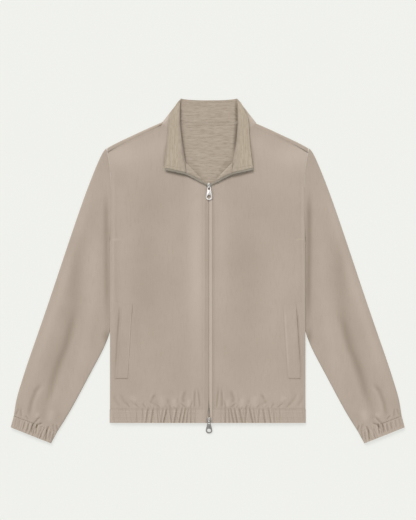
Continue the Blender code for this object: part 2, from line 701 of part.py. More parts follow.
def rolled_section(row):
    """A collar section: in from the seam, round the roll and out over it to the free edge."""
    seam, roll, edge, radius = row[0:3], row[3:6], row[6:9], row[9]
    if radius == 0.0:
        lower, upper = np.linalg.norm(roll - seam), np.linalg.norm(edge - roll)
        middle = lower / (lower + upper)
        turn = middle * np.array([0.84, 0.92, 1.0, 1.08, 1.16])
        over = turn[-1] + (1 - turn[-1]) * np.array([0.3, 0.65, 1.0])
        steps = np.concatenate([middle * np.array([0.0, 0.35, 0.7]), turn, over])
        return path_through([seam, roll, edge], steps)
    outward = (edge - roll) * (1, 1, 0)
    outward = outward / np.linalg.norm(outward)
    centre = roll + radius * outward
    low, high = centre - (0, 0, radius), centre + (0, 0, radius)
    under = [seam + t * (low - seam) for t in (0.0, 0.4, 0.8)]
    turn = [
        centre + radius * (np.array([0, 0, math.sin(a)]) - math.cos(a) * outward)
        for a in np.radians([-90, -45, 0, 45, 90])
    ]
    over = [high + t * (edge - high) for t in (0.3, 0.65, 1.0)]
    return np.array(under + turn + over)


def lapel_section(row):
    """A section of the turned-back corner, from under its roll to the zip's edge."""
    under, roll, edge = row[0:3], row[3:6], row[6:9]
    over = roll + 0.3 * (edge - roll)
    over[2] = edge[2] + 0.25
    return path_through([under, roll, over, edge], LAPEL_STEPS)


def collar_middle():
    """Middle surface of the collar from the right front edge, round the neck, to the left."""
    half = np.array([rolled_section(row) for row in COLLAR_SECTIONS])
    centre = half[-1].copy()
    centre[:, 0] = 0.0
    other = half[::-1] * np.array([-1.0, 1.0, 1.0])
    whole = np.concatenate([half, centre[None], other])
    whole[:, :, 0] = -whole[:, :, 0] + CENTRE_X
    return whole


def make_collar(cloth, jersey):
    """Outer and inner collar: two walls either side of one middle surface."""
    middle = collar_middle()
    normal = section_normals(middle)
    if normal[len(middle) // 2, 4, 2] < 0:
        normal = -normal
    gap = SEAM_GAP / 2
    facing_in = middle + normal * (gap + JERSEY)
    between_in = middle + normal * gap
    between_out = middle - normal * gap
    facing_out = middle - normal * (gap + CLOTH)
    layers = ((facing_in, -1), (between_in, -1), (between_out, 1), (facing_out, 1))
    for row, side in ((RUN_OUT, -1), (len(middle) - 1 - RUN_OUT, 1)):
        for grid, way in layers:
            grid[row, 3:, 0] += way * side * RUN_OUT_PARTING
    for grid in (facing_in, between_in, between_out, facing_out):
        grid[:, :, 2] = np.maximum(grid[:, :, 2], 0.0)
    wall("collar_inner", facing_in, between_in, jersey)
    wall("collar_outer", facing_out, between_out, cloth)


def lapel_middle(side):
    half = np.array([lapel_section(row) for row in LAPEL_SECTIONS])
    flat = half.reshape(len(half), -1)
    wanted = np.linspace(0, len(half) - 1, 8)
    dense = through(np.arange(len(half)), flat, wanted).reshape(8, len(LAPEL_STEPS), 3)
    dense[:, :, 0] = CENTRE_X + side * dense[:, :, 0]
    return dense


def make_lapel(name, side, jersey):
    middle = lapel_middle(side)
    normal = section_normals(middle)
    return wall(name, middle + normal * LAPEL / 2, middle - normal * LAPEL / 2, jersey)


def make_zip_tape(name, side, tape):
    """The open half of the zip, along the front edge of the lapel and the collar."""
    lower = [tuple(row[6:9]) for row in LAPEL_SECTIONS[::-1]]
    upper = rolled_section(COLLAR_SECTIONS[0])[ROLL_TOP:]
    line = path_through(lower + [tuple(point) for point in upper], np.linspace(0, 1, 15))
    line = line - np.array([0.0, SEAM_GAP, 0.0])
    step = np.gradient(line[:, :2], axis=0)
    outward = np.stack([step[:, 1], -step[:, 0]], axis=1)
    outward = outward / np.linalg.norm(outward, axis=1, keepdims=True)
    outward = np.column_stack([outward, np.zeros(len(outward))])
    grid = np.stack([line + 0.2 * outward, line + TAPE_WIDTH * 0.5 * outward,
                     line + TAPE_WIDTH * outward], axis=1)
    grid[:, 2, 2] -= 0.6
    grid[:, :, 0] = CENTRE_X + side * grid[:, :, 0]
    top = grid + (0, 0, TAPE_DEPTH / 2)
    under = grid - (0, 0, TAPE_DEPTH / 2)
    return wall(name, top, under, tape)


def make_lining(jersey):
    """Inside of the back that shows through the neck."""
    y = np.linspace(NECK_SEAM_Y - SEAM_GAP, LINING_END_Y, 7)
    shares = np.linspace(-1, 1, 7)
    grid = np.array([
        [(CENTRE_X + s * LINING_HALF * (1 - 0.25 * (NECK_SEAM_Y - py) / 200), py, 0.0)
         for s in shares] for py in y
    ])
    ripple = 0.1 * np.sin(grid[:, :, 0] * 0.05) * np.sin(grid[:, :, 1] * 0.06)
    grid[:, :, 2] = CLOTH + SEAM_GAP + 0.1 + ripple
    return wall("back_lining", grid + (0, 0, JERSEY), grid, jersey)


# ---------------------------------------------------------------- zip, pockets
def make_lip(name, side, finish):
    """The folded edge beside the zip, lying on the front from the hem to the slider."""
    below = FRONT_ROWS[FRONT_ROWS < SLIDER_TOP_Y - 6.0]
    rows = np.concatenate([[HEM_Y], below, [SLIDER_TOP_Y - 5.0]])
    rows = np.insert(rows, 1, SLIDER_BOTTOM_Y + 10.0)
    parted = SLIDER["wide"] / 2 + SEAM_GAP - LIP_GAP
    spread = parted * (1 - smooth(SLIDER_BOTTOM_Y + 9.5, SLIDER_BOTTOM_Y + 22, rows))
    edge = LIP_GAP + spread
    lift = np.array([0.0, 0.75, 0.6, 0.0])
    under = []
    for y, start in zip(rows, edge):
        x = CENTRE_X * side + np.array([start, start + 1.2, LIP_WIDTH - 1.4, LIP_WIDTH])
        under.append([(px, y, front_height(px, max(y, HEM_SEAM_Y)) + SEAM_GAP) for px in x])
    under = np.array(under)
    over = under + (0, 0, LIP_THICK)
    over[:, :, 2] += lift
    return wall(name, mirrored(over, side), mirrored(under, side), finish)


def make_zip_chain(tape):
    """The closed zip under the fronts' edges, from the hem to the slider."""
    rows = np.concatenate([[HEM_Y + 1.0], FRONT_ROWS[:19], [SLIDER_TOP_Y + 6.0]])
    x = CENTRE_X + np.linspace(-CHAIN_WIDTH / 2, CHAIN_WIDTH / 2, 4)
    drop = np.where(rows < HEM_SEAM_Y + 1, BAND, CLOTH) + SEAM_GAP + 0.2
    drop[1] = BAND + SEAM_GAP + 0.2
    top = np.array([
        [(px, y, front_height(px - CENTRE_X, max(y, HEM_SEAM_Y)) - d) for px in x]
        for y, d in zip(rows, drop)
    ])
    return wall("zip_chain", top, top - (0, 0, CHAIN_DEPTH), tape)


def make_pocket(name, side, finish):
    """The pocket's welt: a strip of the front's own points, moved out."""
    y = np.linspace(POCKET["top_y"], POCKET["bottom_y"], 10)
    share = np.linspace(0, 1, 10)
    mouth = POCKET_EDGE[0] + share * (POCKET_EDGE[1] - POCKET_EDGE[0])
    grid = []
    for py, px in zip(y, mouth):
        row = []
        for across in (0.0, 0.12, 0.5, 1.0):
            x = px - across * POCKET["width"]
            edge_x, edge_z = side_path(py, np.linspace(0, 0.45, 30))
            if x > edge_x[0]:
                z = np.interp(x, edge_x, edge_z)
            else:
                z = front_height(x, py)
            row.append((x, py, z + WELT_CLEARANCE))
        grid.append(row)
    under = np.array(grid)
    over = under + (0, 0, WELT)
    return wall(name, mirrored(over, side), mirrored(under, side), finish)


def prism(name, outline, rise, finish):
    """An outline of points in millimetres, filled and raised by a vector."""
    work = bmesh.new()
    face = work.faces.new([work.verts.new(np.array(point) * MM) for point in outline])
    raised = bmesh.ops.extrude_face_region(work, geom=[face])
    moved = [v for v in raised["geom"] if isinstance(v, bmesh.types.BMVert)]
    bmesh.ops.translate(work, verts=moved, vec=np.array(rise) * MM)
    bmesh.ops.recalc_face_normals(work, faces=work.faces)
    mesh = bpy.data.meshes.new(name)
    work.to_mesh(mesh)
    work.free()
    return add_object(name, mesh, finish)


def plate(name, outline, low, high, finish):
    """A plate: an outline in XY raised from low to high."""
    return prism(name, [(x, y, low) for x, y in outline], (0, 0, high - low), finish)


def soften(target, width, segments, least_angle):
    """Rounds the edges that turn more sharply than an angle in degrees."""
    change = target.modifiers.new("soften", "BEVEL")
    change.width = width * MM
    change.segments = segments
    change.limit_method = "ANGLE"
    change.angle_limit = math.radians(least_angle)


def combine(target, other, operation):
    """A Boolean on target; other stays in the file as a hidden cutter."""
    change = target.modifiers.new(operation.lower(), "BOOLEAN")
    change.operation = operation
    change.object = other
    other.hide_render = True
    other.display_type = "WIRE"


def arc(centre_x, centre_y, radius, start, end, count):
    return [
        (centre_x + radius * math.cos(a), centre_y + radius * math.sin(a))
        for a in np.radians(np.linspace(start, end, count))
    ]


def make_pull(name, y, z, tilt, metal):
    """A pear-shaped pull: an eye round the slider's bridge and a ring at the free end."""
    ring_y = -(PULL_LENGTH - PULL_RING["radius"])
    eye_half = PULL_EYE["width"] / 2 + PULL_EYE["rail"]
    outline = arc(0, ring_y, PULL_RING["radius"], 170, 370, 21)
    outline += [(eye_half, -6.0), (eye_half - 0.2, -1.5), (eye_half - 1.2, BAR_RADIUS)]
    outline += [(-eye_half + 1.2, BAR_RADIUS), (-eye_half + 0.2, -1.5), (-eye_half, -6.0)]
    half = PULL_THICK / 2
    body = plate(name, outline, -half, half, metal)
    hole_outline = arc(0, ring_y, PULL_RING["hole"], 0, 342, 20)
    hole = plate(name + "_hole", hole_outline, -PULL_THICK, PULL_THICK, metal)
    eye_w = PULL_EYE["width"] / 2
    eye = [(-eye_w, -BAR_RADIUS), (-eye_w, -4.4)]
    eye += arc(0, -BAR_RADIUS - PULL_EYE["length"] + eye_w, eye_w, 200, 340, 7)
    eye += [(eye_w, -4.4), (eye_w, -BAR_RADIUS)]
    slot = plate(name + "_eye", eye, -PULL_THICK, PULL_THICK, metal)
    for cutter in (hole, slot):
        combine(body, cutter, "DIFFERENCE")
    soften(body, 0.3, 1, 60)
    hinge = bpy.data.objects.new(name + "_hinge", None)
    bpy.context.scene.collection.objects.link(hinge)
    hinge.location = (CENTRE_X * MM, y * MM, z * MM)
    hinge.rotation_euler = (math.radians(tilt), 0, 0)
    for child in (body, hole, slot):
        child.parent = hinge


def make_slider(name, y, base_z, metal):
    """The slider's body with the arched bridge that the pull hangs on. y is the bridge's."""
    wide, narrow = SLIDER["wide"] / 2, SLIDER["narrow"] / 2
    low_y, high_y = -SLIDER_BELOW, SLIDER["length"] - SLIDER_BELOW
    top_z = base_z + SLIDER["height"]
    outline = [(-narrow + 1, low_y), (narrow - 1, low_y), (narrow, low_y + 1.2),
               (wide, high_y - 3.5), (wide - 0.8, high_y - 0.8), (1.4, high_y),
               (-1.4, high_y), (-wide + 0.8, high_y - 0.8), (-wide, high_y - 3.5),
               (-narrow, low_y + 1.2)]
    outline = [(CENTRE_X + px, y + py) for px, py in outline]
    body = plate(name, outline, base_z, top_z, metal)
    soften(body, 0.6, 2, 40)

    axis_z = top_z + SLIDER["axis"]
    inner, outer = BRIDGE["inner"], BRIDGE["inner"] + BRIDGE["thick"]
    foot_z = top_z - 0.6 - axis_z
    profile = [(-outer, foot_z), (-inner, foot_z), *arc(0, 0, inner, 180, 0, 9),
               (inner, foot_z), (outer, foot_z), *arc(0, 0, outer, 0, 180, 11)]
    near_x = CENTRE_X - BRIDGE["width"] / 2
    profile = [(near_x, y + py, axis_z + pz) for py, pz in profile]
    bridge = prism(name + "_bridge", profile, (BRIDGE["width"], 0, 0), metal)
    combine(body, bridge, "UNION")
    return axis_z


# ---------------------------------------------------------------- the jacket
def main():
    for old in list(bpy.data.objects):
        bpy.data.objects.remove(old, do_unlink=True)
    shell = material("shell_cloth", (0.46, 0.38, 0.31), 0.62)
    jersey = material("heather_jersey", (0.42, 0.37, 0.27), 0.85)
    tape = material("zip_tape", (0.40, 0.37, 0.31), 0.7)
    metal = material("nickel", (0.72, 0.72, 0.70), 0.28, 1.0)

    make_back(shell)
    make_lining(jersey)
    make_hem_back(shell)
    make_collar(shell, jersey)
    make_zip_chain(tape)
    for word, side in SIDES.items():
        make_front("front_" + word, side, shell)
        make_sleeve("sleeve_" + word, side, shell)
        make_cuff("cuff_" + word, side, shell)
        make_hem_front("hem_front_" + word, side, shell)
        make_lapel("lapel_" + word, side, jersey)
        make_zip_tape("zip_tape_" + word, side, tape)
        make_lip("zip_lip_" + word, side, shell)
        make_pocket("pocket_welt_" + word, side, shell)

    for word, y in (("top", SLIDER_TOP_Y), ("bottom", SLIDER_BOTTOM_Y)):
        axis_z = make_slider("slider_" + word, y, SLIDER_BASE[word], metal)
        make_pull("pull_" + word, y, axis_z, PULL_REST_TILT[word], metal)


main()
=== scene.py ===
# %% [markdown]
# # A light bomber jacket, laid flat and seen from straight above
# The solids of the jacket are already packed, one for each piece of cloth and metal. This lesson
# dresses them: the cloth gets its creases and gathers, its seams get their stitches, the zip gets
# its teeth, and every surface gets a material. Everything is in metres.

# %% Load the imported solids
import math

import bmesh
import bpy
import numpy as np
from mathutils import Matrix, Vector


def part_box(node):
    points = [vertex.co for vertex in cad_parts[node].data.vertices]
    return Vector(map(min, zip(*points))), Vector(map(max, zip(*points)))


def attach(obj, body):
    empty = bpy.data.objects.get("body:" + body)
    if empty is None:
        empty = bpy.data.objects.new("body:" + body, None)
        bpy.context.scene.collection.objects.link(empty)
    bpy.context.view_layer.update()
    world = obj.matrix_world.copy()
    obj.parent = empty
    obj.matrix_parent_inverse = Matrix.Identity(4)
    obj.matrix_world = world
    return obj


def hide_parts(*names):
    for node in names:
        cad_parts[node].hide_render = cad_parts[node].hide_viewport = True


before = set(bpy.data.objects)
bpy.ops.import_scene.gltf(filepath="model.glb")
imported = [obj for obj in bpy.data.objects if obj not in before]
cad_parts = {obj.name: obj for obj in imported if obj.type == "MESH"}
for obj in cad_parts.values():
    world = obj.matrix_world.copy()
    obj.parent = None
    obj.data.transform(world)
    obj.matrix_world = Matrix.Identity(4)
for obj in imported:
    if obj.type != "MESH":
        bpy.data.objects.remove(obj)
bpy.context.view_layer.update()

MM = 0.001
bpy.ops.object.select_all(action="DESELECT")

# %% [markdown]
# ## Camera
# The jacket lies on its back and is seen square on, so the camera hangs straight above it. A long
# lens far away keeps the outline the same at the hem and at the raised collar. The distance
# follows from how much of the floor the frame takes in.

# %% Camera
VIEW_HEIGHT = 1180.4 * MM      # of floor, from the bottom of the frame to its top
VIEW_CENTRE = (0.7 * MM, 25.0 * MM)
JACKET_HEIGHT = 6.0 * MM
LENS, SENSOR = 100.0, 36.0

bpy.ops.object.camera_add(rotation=(0.0, 0.0, 0.0))
camera = bpy.context.object
camera.name = "camera_above"
camera.data.lens = LENS
camera.data.sensor_width = SENSOR
camera.location = (*VIEW_CENTRE, JACKET_HEIGHT + VIEW_HEIGHT * LENS / SENSOR)
bpy.context.scene.camera = camera
bpy.context.scene.view_settings.view_transform = "Standard"
print("camera", round(camera.location.z, 2), "m above the floor")

# %% [markdown]
# ## Colours and nodes
# A colour is written as it would be picked on a screen and turned to linear light by one
# function. One more function adds a shader node with its settings and its links, so that each
# material below reads as a list of what it is made of.

# %% Colour and node helpers
def linear(code):
    """The linear colour of an sRGB hex code."""
    parts = [int(code[i:i + 2], 16) / 255 for i in (0, 2, 4)]
    return (*[c / 12.92 if c <= 0.04045 else ((c + 0.055) / 1.055) ** 2.4 for c in parts], 1.0)


def add(tree, kind, settings=None, **inputs):
    """Adds a node. An input is a number, a hex colour, another node's output or the node itself,
    for its first output; _ stands for a space, and in0 means input number 0."""
    made = tree.nodes.new("ShaderNode" + kind)
    for option, value in (settings or {}).items():
        setattr(made, option, value)
    for name, value in inputs.items():
        numbered = name.startswith("in") and name[2:].isdigit()
        socket = made.inputs[int(name[2:]) if numbered else name.replace("_", " ")]
        if isinstance(value, (bpy.types.Node, bpy.types.NodeSocket)):
            tree.links.new(getattr(value, "outputs", [value])[0], socket)
        else:
            socket.default_value = linear(value) if isinstance(value, str) else value
    return made


def new_material(name):
    """An empty material and its tree."""
    made = bpy.data.materials.new(name)
    made.use_nodes = True
    made.node_tree.nodes.clear()
    return made, made.node_tree


MIX_COLOURS = {"data_type": "RGBA"}    # inputs 6 and 7 and output 2 are then the colours


def wave_scale(pitch):
    """The scale at which a wave repeats once in each pitch."""
    return math.pi / (10 * pitch)


print("white is", linear("ffffff"))

# %% [markdown]
# ## Shell cloth
# The shell is a plain-woven cotton and nylon cloth in a warm stone colour that has been through
# the wash, so it is matt with a faint bloom at grazing angles. Real threads lie about 0.3 mm
# apart, which is finer than the picture can show, so the weave is drawn at 1.2 mm: two waves
# across each other in the bump, with a little of them in the colour. Two slow noises stand for the
# uneven wash and slubs. On top of that the colour carries painted shade and painted highlight: it
# follows an attribute called fold, which each piece gets together with its creases, and is painted
# darker in
# the folds and paler on the ridges: 1 in a deep fold, -1 on a ridge.

# %% Shell cloth
SHELL_LIGHT, SHELL_DARK = "b6a89a", "b1a395"
SHELL_SLUB = "a7998a"
# painted shade for the folds and painted highlight for the ridges
SHELL_PAINTED_SHADE, SHELL_PAINTED_HIGHLIGHT = "857868", "cfc2b5"
WEAVE_PITCH = 1.2 * MM         # drawn coarser than the cloth's own 0.3 mm
WEAVE_DEPTH = 0.12 * MM
WASH_SCALE = 9.0               # patches a hand's breadth wide
SLUB_SCALE, SLUB_STRETCH = 420.0, 0.12     # slubs lie along the warp
PUCKER_SCALE, PUCKER_DEPTH = 55.0, 0.6 * MM


def paint_fold_shade_and_highlight(tree, colour, deep, highlight_tone):
    """The colour, with painted shade that darkens the piece's folds and a painted highlight that
    pales its ridges, as its attribute fold says.
    """
    fold = add(tree, "Attribute", {"attribute_name": "fold"}).outputs["Fac"]
    dark = add(tree, "MapRange", Value=fold, From_Min=0.0, From_Max=1.0)
    pale = add(tree, "MapRange", Value=fold, From_Min=0.0, From_Max=-1.0)
    folded = add(tree, "Mix", MIX_COLOURS, in0=dark, in6=colour, in7=deep)
    return add(tree, "Mix", MIX_COLOURS, in0=pale, in6=folded.outputs[2],
               in7=highlight_tone).outputs[2]


def weave(tree, place):
    """Height of a plain weave: warp over weft, then weft over warp."""
    warp, weft = [
        add(tree, "TexWave", {"bands_direction": axis, "wave_profile": "SIN"}, Vector=place,
            Scale=wave_scale(WEAVE_PITCH), Distortion=0.6, Detail=1.0, Detail_Scale=2.0)
        for axis in ("X", "Y")
    ]
    return add(tree, "Math", {"operation": "MULTIPLY"}, in0=warp.outputs["Fac"],
               in1=weft.outputs["Fac"])


def woven_cloth(name, light, dark, slub, bump):
    """Plain-woven matt cloth."""
    made, tree = new_material(name)
    place = add(tree, "TexCoord").outputs["Object"]
    uneven = add(tree, "TexNoise", Vector=place, Scale=WASH_SCALE, Detail=3.0, Roughness=0.55)
    warp = add(tree, "Mapping", Vector=place, Scale=(1.0, SLUB_STRETCH, 1.0))
    slubs = add(tree, "TexNoise", Vector=warp, Scale=SLUB_SCALE, Detail=2.0,
                Roughness=0.6)
    threads = weave(tree, place)
    faded = add(tree, "MapRange", Value=uneven, From_Min=0.35, From_Max=0.65)
    wash_and_painted_light = add(tree, "Mix", MIX_COLOURS, in0=faded, in6=dark, in7=light)
    thick = add(tree, "MapRange", Value=slubs, From_Min=0.5, From_Max=0.85,
                To_Max=0.55)
    spun = add(tree, "Mix", MIX_COLOURS, in0=thick, in6=wash_and_painted_light.outputs[2], in7=slub)
    hollow = add(tree, "MapRange", Value=threads, From_Min=0.0, From_Max=0.5, To_Min=0.12,
                 To_Max=0.0)
    shaded = add(tree, "Mix", MIX_COLOURS, in0=hollow, in6=spun.outputs[2], in7=slub)
    # painted shade in the folds and painted highlight on the ridges
    colour = paint_fold_shade_and_highlight(tree, shaded.outputs[2], SHELL_PAINTED_SHADE, SHELL_PAINTED_HIGHLIGHT)
    puckers = add(tree, "TexNoise", Vector=place, Scale=PUCKER_SCALE, Detail=4.0, Roughness=0.5)
    crumple = add(tree, "Bump", Height=puckers, Strength=0.35, Distance=PUCKER_DEPTH)
    relief = add(tree, "Bump", Height=threads, Strength=bump, Distance=WEAVE_DEPTH,
                 Normal=crumple)
    shader = add(tree, "BsdfPrincipled", Base_Color=colour, Roughness=0.86,
                 Normal=relief, Sheen_Weight=0.18, Sheen_Roughness=0.45,
                 Specular_IOR_Level=0.25)
    add(tree, "OutputMaterial", Surface=shader)
    return made


shell = woven_cloth("shell_cotton_nylon", SHELL_LIGHT, SHELL_DARK, SHELL_SLUB, 0.5)
print("made", shell.name)

# %% [markdown]
# ## Heather jersey
# The inside of the collar and the lining are knitted from a mix of light and dark fibres. The
# eye sees short streaks along the wales, and they follow the piece round the neck, so the
# pattern reads a UV map that runs along each piece's own length.

# %% Heather jersey
HEATHER_LIGHT, HEATHER_MID, HEATHER_DARK = "b9ac9c", "b0a293", "8e806e"
# painted shade for the jersey's folds and painted highlight for its ridges
HEATHER_PAINTED_SHADE, HEATHER_PAINTED_HIGHLIGHT = "665b4a", "cfc29c"
STREAK_LENGTH = 17.0 * MM
STREAK_WIDTH = 1.7 * MM        # real streaks are 0.5 mm, too fine to show
WALE_PITCH = 1.4 * MM          # drawn coarser than the knit's own 0.7 mm
WALE_DEPTH = 0.25 * MM


def heather_jersey(name, light, mid, dark):
    """Fine knit of mixed fibres, streaked along the UV map's U."""
    made, tree = new_material(name)
    place = add(tree, "UVMap", {"uv_map": "grain"})
    stretched = add(tree, "Mapping", Vector=place,
                    Scale=(1 / STREAK_LENGTH, 1 / STREAK_WIDTH, 1.0))
    streaks = add(tree, "TexNoise", Vector=stretched, Scale=1.0, Detail=3.0, Roughness=0.7)
    long_streaks = add(tree, "TexNoise", Vector=stretched, Scale=0.35, Detail=2.0, Roughness=0.5)
    fair = add(tree, "MapRange", Value=long_streaks, From_Min=0.35, From_Max=0.65)
    pale = add(tree, "Mix", MIX_COLOURS, in0=fair, in6=mid, in7=light)
    deep = add(tree, "MapRange", Value=streaks, From_Min=0.45, From_Max=0.78,
               To_Max=0.9)
    mixed = add(tree, "Mix", MIX_COLOURS, in0=deep, in6=pale.outputs[2], in7=dark)
    # painted shade in the folds and painted highlight on the ridges
    colour = paint_fold_shade_and_highlight(tree, mixed.outputs[2], HEATHER_PAINTED_SHADE, HEATHER_PAINTED_HIGHLIGHT)
    wales = add(tree, "TexWave", {"bands_direction": "Y", "wave_profile": "SIN"}, Vector=place,
                Scale=wave_scale(WALE_PITCH), Distortion=0.8, Detail=1.0)
    relief = add(tree, "Bump", Height=wales.outputs["Fac"], Strength=0.4, Distance=WALE_DEPTH)
    shader = add(tree, "BsdfPrincipled", Base_Color=colour, Roughness=0.92,
                 Normal=relief, Sheen_Weight=0.25, Sheen_Roughness=0.5,
                 Specular_IOR_Level=0.2)
    add(tree, "OutputMaterial", Surface=shader)
    return made


jersey = heather_jersey("heather_cotton_jersey", HEATHER_LIGHT, HEATHER_MID, HEATHER_DARK)
print("made", jersey.name)

# %% [markdown]
# ## Tape, thread and metal
# The zip's tape is a dense grey-beige polyester weave. The thread is a shade darker than the
# cloth and a little shiny. The sliders and pulls are zinc with a polished nickel plate: almost a
# mirror, with fine scratches that only roughen it. The bottom ones are worn to a duller grey.
# The teeth are moulded nylon, smooth and a little glossy.

# %% Tape, thread and metal
TAPE_LIGHT, TAPE_DARK = "aaa294", "918a7b"
THREAD, JERSEY_THREAD = "9d8f7f", "857764"
NICKEL_TONE, NICKEL_WORN = "f2efeb", "dedbd6"
WORN_TONE = "6f6d69"
TEETH_TONE = "8f897d"
SCRATCH_SCALE = 900.0
SCRATCH_DEPTH = 0.05 * MM


def plain(name, tone, worn, roughness, metallic=0.0, scale=300.0):
    """A surface whose colour and roughness wander a little between two values."""
    made, tree = new_material(name)
    place = add(tree, "TexCoord").outputs["Object"]
    noise = add(tree, "TexNoise", Vector=place, Scale=scale, Detail=4.0, Roughness=0.6)
    colour = add(tree, "Mix", MIX_COLOURS, in0=noise, in6=tone, in7=worn)
    rough = add(tree, "MapRange", Value=noise, To_Min=roughness, To_Max=roughness + 0.1)
    relief = add(tree, "Bump", Height=noise, Strength=0.15, Distance=SCRATCH_DEPTH)
    shader = add(tree, "BsdfPrincipled", Base_Color=colour.outputs[2], Metallic=metallic,
                 Roughness=rough, Normal=relief)
    add(tree, "OutputMaterial", Surface=shader)
    return made


tape_cloth = woven_cloth("zip_tape_polyester", TAPE_LIGHT, TAPE_DARK, TAPE_DARK, 0.7)
thread = plain("thread_polyester", THREAD, SHELL_DARK, 0.6)
jersey_thread = plain("thread_polyester_dark", JERSEY_THREAD, HEATHER_DARK, 0.6)
nickel = plain("nickel_plated_zinc", NICKEL_TONE, NICKEL_WORN, 0.16, metallic=1.0,
               scale=SCRATCH_SCALE)
dull_nickel = plain("nickel_plated_zinc_worn", WORN_TONE, NICKEL_WORN, 0.3, metallic=1.0,
                    scale=SCRATCH_SCALE)
teeth_finish = plain("zip_teeth_nylon", TEETH_TONE, TAPE_LIGHT, 0.45)
print("made", tape_cloth.name, thread.name, nickel.name, teeth_finish.name)

# %% [markdown]
# ## Floor and light
# The jacket lies on a plain pale table that is lit from below, as studios use to lose the
# shadows round a flat garment, so about two thirds of the floor's brightness is its own. The
# main light is wide and soft and stands beyond the collar and a little to the left: edges that
# face the hem keep a thin shade. A soft box right above is what the polished metal mirrors, and a
# plain surrounding, brighter overhead than near the floor, fills the rest.

# %% Floor
FLOOR_TONE, FLOOR_GRAIN = "8f908d", "8d8e8b"
GLOW_TONE, FLOOR_GLOW = "fdfef9", 0.60
FLOOR_SIZE = 60.0
FLOOR_DROP = 0.4 * MM          # stitches on the back need this much room

bpy.ops.mesh.primitive_plane_add(size=FLOOR_SIZE, location=(0.0, 0.0, -FLOOR_DROP))
floor = bpy.context.object
floor.name = "floor"
bpy.ops.object.transform_apply(location=True)
table_top = plain("frosted_table", FLOOR_TONE, FLOOR_GRAIN, 0.9, scale=6.0)
glow = table_top.node_tree.nodes["Principled BSDF"]
glow.inputs["Emission Color"].default_value = linear(GLOW_TONE)
glow.inputs["Emission Strength"].default_value = FLOOR_GLOW
floor.data.materials.append(table_top)
print("floor", FLOOR_SIZE, "m wide")

# %% Light
SKY_HIGH, SKY_LOW = 0.66, 0.22
KEY_FROM, KEY_POWER, KEY_SOFTNESS = (-0.35, 1.0, 0.9), 1.95, math.radians(26)
TOP_PLACE, TOP_SIZE, TOP_POWER = (0.0, 0.1, 4.6), 1.6, 8.0

world = bpy.data.worlds.new("studio")
world.use_nodes = True
sky = world.node_tree
height = add(sky, "SeparateXYZ", Vector=add(sky, "TexCoord").outputs["Generated"])
rising = add(sky, "MapRange", Value=height.outputs["Z"], From_Min=0.0, From_Max=0.8,
             To_Min=SKY_LOW, To_Max=SKY_HIGH)
surround = sky.nodes["Background"]
surround.inputs["Color"].default_value = linear("ffffff")
sky.links.new(rising.outputs[0], surround.inputs["Strength"])
bpy.context.scene.world = world

bpy.ops.object.light_add(type="SUN", location=KEY_FROM)
key = bpy.context.object
key.name = "key_light"
key.data.energy = KEY_POWER
key.data.angle = KEY_SOFTNESS
key.rotation_euler = Vector(KEY_FROM).to_track_quat("Z", "Y").to_euler()
bpy.ops.object.light_add(type="AREA", location=TOP_PLACE)
top_box = bpy.context.object
top_box.name = "top_soft_box"
top_box.data.size = TOP_SIZE
top_box.data.energy = TOP_POWER
print("lights:", key.name, top_box.name)

# %% [markdown]
# ## Creases
# Light cloth that lies flat shows few, soft creases: some start at the gathered hem and die out
# within a hand's breadth, two long ones run down each sleeve, and small sharp ones sit over the
# cuff. Each is listed as a line with a depth and a width. Across the line the cloth dips
# and comes up again beside it, and towards both ends the crease fades. A negative depth is a
# ridge. Both halves of the jacket lie nearly alike, so the list holds the wearer's left.

# %% Crease lists
# depth, width, then the line's points, all in mm
BODY_CREASES = [
    (0.8, 2.0, (32.9, -313), (32.9, -292), (31.1, -266)),
    (0.8, 1.8, (20.2, -313), (22.5, -290), (25.0, -266)),
    (0.45, 1.6, (186.8, -301), (178.6, -311)), (0.5, 1.6, (168.9, -302), (158.0, -311)),
    (0.5, 1.6, (150.0, -301), (143.0, -313)), (0.35, 2.2, (129.0, -290), (121.0, -281)),
    (0.5, 1.6, (117.5, -304), (110.0, -313)), (0.5, 1.5, (89.6, -304), (84.7, -316)),
    (0.45, 1.5, (79.9, -307), (74.9, -316)), (0.6, 1.7, (62.5, -301), (53.0, -311)),
    (0.4, 1.5, (36.5, -293), (39.0, -306)), (0.35, 1.5, (99.0, -303), (96.0, -314)),
    (0.35, 1.5, (69.5, -303), (65.0, -313)), (0.35, 1.6, (134.5, -303), (130.0, -312)),
    (0.55, 1.8, (42.7, -313), (38.2, -298)),
    (0.6, 3.4, (57.8, -300), (58.6, -290), (53.0, -272)),
    (0.3, 2.4, (72.0, -300), (71.4, -288)),
    (0.3, 2.6, (92.0, -303), (94.8, -290)),
    (0.2, 3.2, (116.0, -306), (130.0, -300), (139.0, -292)),
    (0.4, 2.8, (134.0, -303), (128.0, -292), (123.0, -277)),
    (0.2, 2.6, (152.0, -306), (146.0, -296)),
    (0.25, 3.0, (160.0, -306), (171.0, -300), (180.0, -292)),
    (0.35, 3.4, (184.0, -306), (196.0, -292), (201.0, -277)),
    (0.25, 3.4, (203.0, -308), (212.0, -296), (217.0, -281)),
    (-0.5, 5.0, (45.0, -311), (47.0, -290)),
    (-0.5, 6.0, (78.0, -312), (80.0, -288)),
    (-0.4, 7.0, (104.0, -311), (110.0, -280)),
    (-0.4, 7.0, (165.0, -298), (180.0, -285)),
    (0.1, 9.0, (168.0, -100.0), (164.0, -180.0)),
    (-0.22, 2.6, (222.0, 250.0), (217.0, 236.0), (215.6, 90.0), (217.0, -10.0), (219.0, -140.0)),
    (0.12, 6.0, (22.0, 176.0), (44.0, 150.0)),
]
